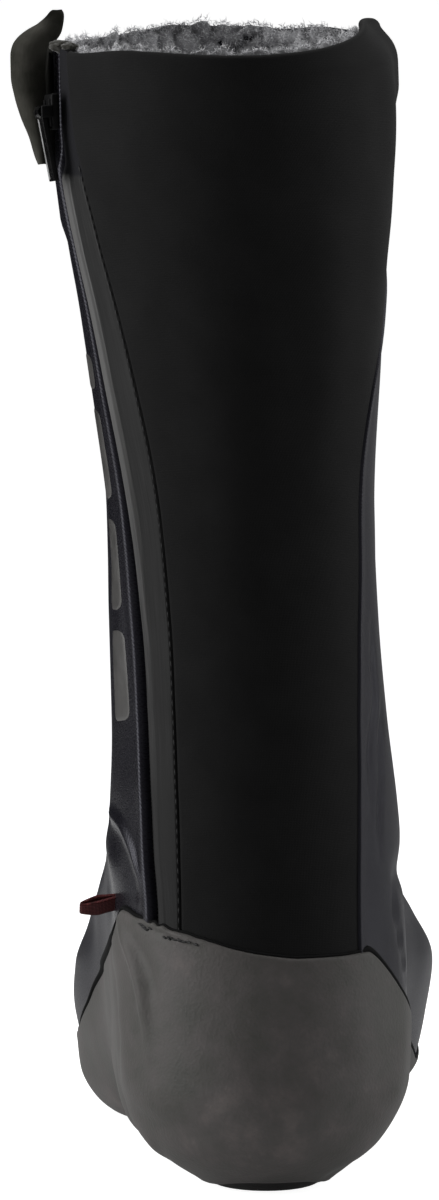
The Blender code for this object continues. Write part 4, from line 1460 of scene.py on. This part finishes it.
def seatMatrix():
    height, across, face, reach = (zipSeat[name] for name in ("height", "across", "face", "reach"))
    centre = zipPoint(height, across, face)
    up = Vector(zipPoint(height + reach, across, face) - zipPoint(height - reach, across, face))
    out = Vector(zipPoint(height, across, face + 1.0) - centre).normalized()
    side = up.cross(out).normalized()
    along = out.cross(side)
    return Matrix.Translation(Vector(world(centre))) @ Matrix((side, along, out)).transposed().to_4x4()


def addBlock(net, size, centre, bevel=0.0):
    made = bmesh.ops.create_cube(net, size=mm)["verts"]
    bmesh.ops.scale(net, vec=size, verts=made)
    bmesh.ops.translate(net, vec=Vector(centre) * mm, verts=made)
    if bevel:
        roundEdges(net, edgesOf(made), bevel * mm, 3)
    return made


def makeSlider(seat):
    net = bmesh.new()
    top = slider["body"][2]
    body = addBlock(net, slider["body"], (0.0, 0.0, 0.5 * top))
    for vertex in body:  # shoulders are wider than the tail
        if vertex.co.y < 0.0:
            vertex.co.x *= slider["tail"]
    roundEdges(net, edgesOf(body), slider["rounding"] * mm, 4)
    railX, railY, railUp = slider["railAt"]
    for side in (-1.0, 1.0):
        earPlace = (side * slider["earAt"], 0.0, top + slider["earUp"])
        addBlock(net, slider["ear"], earPlace, slider["earRounding"])
        addBlock(net, slider["rail"], (side * railX, railY, top + railUp), slider["railRounding"])
    radius = slider["pinRadius"] * mm
    pin = bmesh.ops.create_cone(
        net, segments=slider["pinSides"], radius1=radius, radius2=radius, depth=2.0 * slider["earAt"] * mm,
        cap_ends=True,
    )["verts"]
    bmesh.ops.rotate(net, cent=(0, 0, 0), matrix=Matrix.Rotation(0.5 * math.pi, 3, "Y"), verts=pin)
    bmesh.ops.translate(net, vec=(0.0, 0.0, zipSeat["pinOut"] * mm), verts=pin)
    bmesh.ops.transform(net, matrix=seat, verts=net.verts)
    mesh = meshOf(net, "slider_body")
    piece = addPiece("slider_body", mesh, zipBlack)
    mesh.set_sharp_from_angle(angle=math.radians(slider["sharp"]))
    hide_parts("zip_slider")


def makePull(seat):
    # the tab with a sunk panel on its face, then a flat ring spun round the pin
    net = bmesh.new()
    tabLength = pull["length"] - pull["eye"] - 1.0
    tabSize = (pull["width"], tabLength, pull["thick"])
    tab = addBlock(net, tabSize, (0.0, -0.5 * tabLength - pull["tabFrom"], 0.0))
    front = max((face for vertex in tab for face in vertex.link_faces), key=lambda face: face.normal.z)
    bmesh.ops.inset_individual(
        net, faces=[front], thickness=pull["panelIn"] * mm, depth=-pull["panelDeep"] * mm
    )
    corners = [edge for edge in net.edges if edge.calc_face_angle(0.0) > pull["corner"]]
    roundEdges(net, corners, pull["rounding"] * mm, 3)
    for face in net.faces:  # painted highlight: the panel's long inner wall gets a light grey finish in place of its reflection
        face.normal_update()
        rim = face.calc_center_median().x < -pull["rimFrom"] * pull["width"] * mm
        facing = min(face.normal.x, face.normal.z) > pull["rimFacing"] > abs(face.normal.y)
        if rim and facing:
            face.material_index = 1
    radius = 0.5 * (pull["eye"] - pull["bore"])
    flatten = 0.5 * pull["width"] / radius * pull["ringWidth"]
    ring = bmesh.ops.create_circle(
        net, cap_ends=False, segments=pull["ringSides"], radius=radius * mm
    )["verts"]
    bmesh.ops.scale(net, vec=(flatten, 1.0, 1.0), verts=ring)
    bmesh.ops.translate(net, vec=(0.0, 0.5 * (pull["eye"] + pull["bore"]) * mm, 0.0), verts=ring)
    bmesh.ops.spin(
        net, geom=ring + edgesOf(ring), cent=(0, 0, 0), axis=(1, 0, 0), angle=2.0 * math.pi,
        steps=pull["ringSteps"], use_merge=True, use_duplicate=False,
    )
    bmesh.ops.recalc_face_normals(net, faces=net.faces)
    lean = Matrix.Rotation(math.radians(pull["lean"]), 4, "X")
    onPin = Matrix.Translation((0.0, 0.0, zipSeat["pinOut"] * mm)) @ lean
    bmesh.ops.transform(net, matrix=seat @ onPin, verts=net.verts)
    mesh = meshOf(net, "pull_tab")
    piece = addPiece("pull_tab", mesh, zipGloss, body="pull")
    # the second material paints the highlight on the panel's inner wall
    mesh.materials.append(pullPaintedHighlight)
    mesh.set_sharp_from_angle(angle=math.radians(pull["sharp"]))
    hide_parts("zip_pull")


seat = seatMatrix()
makeSlider(seat)
makePull(seat)
print("slider and pull made")


# The loop: folded red tape at the guard's outer corner, tipped so that its open end looks up.
loop = {
    "turn": 0.112, "height": 83.6, "rootOut": -0.6, "reach": 10.8, "gap": 1.5, "tape": 0.8, "width": 6.6,
    "tip": -40.0, "droop": 0.17, "taper": 0.30, "steps": (72, 10), "foldSteps": 200, "bluntness": 0.75,
    "rootGap": 0.35, "rootOpen": 1.6,
}


def makeLoop():
    rise = riseAt(np.array([loop["height"]]), lambda level: loop["turn"])
    root = skin(np.array([loop["turn"]]), rise, np.array([loop["rootOut"]]))[0]
    half = 0.5 * loop["gap"] + 0.5 * loop["tape"]
    tip = math.radians(loop["tip"])
    stack = np.array((0.0, -math.sin(tip), math.cos(tip)))
    wide = np.array((0.0, math.cos(tip), math.sin(tip)))
    out = np.array((-1.0, 0.0, -loop["droop"]))
    # the fold: out along the top, round the end and back underneath
    angles = math.pi * np.linspace(0.0, 1.0, loop["foldSteps"])
    x = loop["reach"] * np.sin(angles) ** loop["bluntness"]
    z = half * np.cos(angles) * np.minimum(1.0, loop["rootGap"] + loop["rootOpen"] * np.sin(angles))
    lengths = pathLengths(np.column_stack((x, z)))

    def place(share, side):
        at = share * lengths[-1]
        along = np.interp(at, lengths, x)
        up = np.interp(at, lengths, z)
        narrowed = 1.0 - loop["taper"] * smooth(2.0 * along / loop["reach"] - 1.0)
        across = (side - 0.5) * loop["width"] * narrowed
        points = root + along[:, None] * out + up[:, None] * stack + across[:, None] * wide
        return points, (across, at)

    piece = gridPiece("loop_tape", place, loop["steps"], redTape)
    thicken(piece, loop["tape"], 0.0)
    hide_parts("tag_loop")


makeLoop()
print("loop made")


# A plain broken band of reflective print on the outer side. Its blocks are lower and upper heights.
printBand = {
    "beside": 9.0, "width": 12.0, "out": 0.42, "corner": 3.0, "drop": 0.14, "soft": 0.9, "steps": (36, 24),
    "blocks": ((236.0, 246.0), (204.0, 230.0), (172.0, 198.0), (140.0, 166.0)),
}


def makePrint():
    width, corner = printBand["width"], printBand["corner"]
    for index, (low, high) in enumerate(printBand["blocks"]):
        def place(share, side):
            height = low + share * (high - low)
            rise = riseAt(height, lambda level: seamTurn(seams["zipGroove"], level))
            end = np.minimum(height - low, high - height)
            inset = corner - np.sqrt(np.maximum(corner ** 2 - np.maximum(corner - end, 0.0) ** 2, 0.0))
            across = printBand["beside"] + inset + side * (width - 2.0 * inset)
            edge = np.minimum(np.minimum(side, 1.0 - side) * width, end)
            out = printBand["out"] - printBand["drop"] * (1.0 - smooth(edge / printBand["soft"]))
            turn = seamTurn(seams["zipGroove"], rise) + across / girthLength(rise)
            return skin(turn, rise, out), (across, height)

        gridPiece(f"print_block_{index}", place, printBand["steps"], plainPrint)


makePrint()
print("print made")


# Stage: pale floor, black card, soft studio light, camera at the photograph's angle.
stage = {"floor": 40.0, "background": 1.0, "ambient": 0.13, "glow": 0.93, "bounce": 0.10}
card = {"place": (-0.50, 0.62, 0.47), "aim": (0.0, -0.05, 0.47), "size": 0.52}
# name, place, aim, size and watts
softboxes = (
    ("left_box", (-1.12, -0.20, 0.50), (0.0, -0.05, 0.16), (0.7, 1.5), 16.5),
    ("right_box", (1.15, 0.0, 0.55), (0.0, -0.05, 0.16), (0.7, 1.5), 9.2),
    ("top_box", (0.0, 0.15, 1.5), (0.0, -0.05, 0.2), (1.2, 1.2), 9.0),
)
shot = {
    "azimuth": -2.3, "elevation": 5.0, "distance": 3.0, "aim": (0.0010, -0.0897, 0.172), "right": -0.0061,
    "up": 0.0003, "lens": 303.0, "sensor": 36.0, "clip": (0.05, 200.0),
}
white = (1.0, 1.0, 1.0, 1.0)


def addBoard(name, segments, size, matrix, material):
    net = bmesh.new()
    bmesh.ops.create_grid(net, x_segments=segments, y_segments=segments, size=size, matrix=matrix)
    board = addObject(name, meshOf(net, name))
    board.data.materials.append(material)
    return board


def makeFloor():
    material = newMaterial("pale_floor")
    seen = addNode(material.node_tree, "LightPath").outputs["Is Camera Ray"]
    endFinish(
        material, colour=(0.62, 0.62, 0.62, 1.0), rough=0.9, specular=0.1, glow=white,
        glowStrength=spread(seen, 0.0, 1.0, stage["bounce"], stage["glow"]),
    )
    floor = addBoard("floor", 8, stage["floor"], Matrix.Identity(4), material)


def makeBackdrop():
    scene = bpy.context.scene
    scene.view_settings.view_transform = "Standard"
    scene.world = bpy.data.worlds.new("studio")
    scene.world.use_nodes = True
    tree = scene.world.node_tree
    tree.nodes.clear()
    seen = addNode(tree, "Background", {"Color": white, "Strength": stage["background"]}).outputs[0]
    lit = addNode(tree, "Background", {"Color": white, "Strength": stage["ambient"]}).outputs[0]
    ray = addNode(tree, "LightPath").outputs["Is Camera Ray"]
    mix = addNode(tree, "MixShader", {0: ray, 1: lit, 2: seen})
    addNode(tree, "OutputWorld", {"Surface": mix.outputs[0]})


def makeCard():
    # a black card keeps the outer side dark, unseen by the camera
    place = Vector(card["place"])
    facing = (Vector(card["aim"]) - place).to_track_quat("Z", "Y").to_matrix().to_4x4()
    material = newMaterial("card_black")
    endFinish(material, colour=(0.002, 0.002, 0.002, 1.0), rough=1.0, specular=0.0)
    board = addBoard("black_card", 2, card["size"], Matrix.Translation(place) @ facing, material)
    board.visible_camera = False


def addSoftbox(name, place, aim, size, watts):
    light = bpy.data.lights.new(name, "AREA")
    light.shape = "RECTANGLE"
    light.size, light.size_y = size
    light.energy = watts
    lamp = addObject(name, light)
    lamp.location = place
    lamp.rotation_euler = (Vector(aim) - Vector(place)).to_track_quat("-Z", "Y").to_euler()
    lamp.visible_camera = False


def makeCamera():
    azimuth, elevation = math.radians(shot["azimuth"]), math.radians(shot["elevation"])
    level = math.cos(elevation)
    ahead = Vector((-math.sin(azimuth) * level, math.cos(azimuth) * level, -math.sin(elevation)))
    right = ahead.cross(Vector((0.0, 0.0, 1.0))).normalized()
    aim = Vector(shot["aim"]) + shot["right"] * right + shot["up"] * right.cross(ahead)
    camera = addObject("camera", bpy.data.cameras.new("camera"))
    camera.location = aim - shot["distance"] * ahead
    camera.rotation_euler = ahead.to_track_quat("-Z", "Y").to_euler()
    camera.data.lens = shot["lens"]
    camera.data.sensor_width = shot["sensor"]
    camera.data.clip_start, camera.data.clip_end = shot["clip"]
    bpy.context.scene.camera = camera


makeFloor()
makeBackdrop()
makeCard()
for softbox in softboxes:
    addSoftbox(*softbox)
makeCamera()
print("stage made")
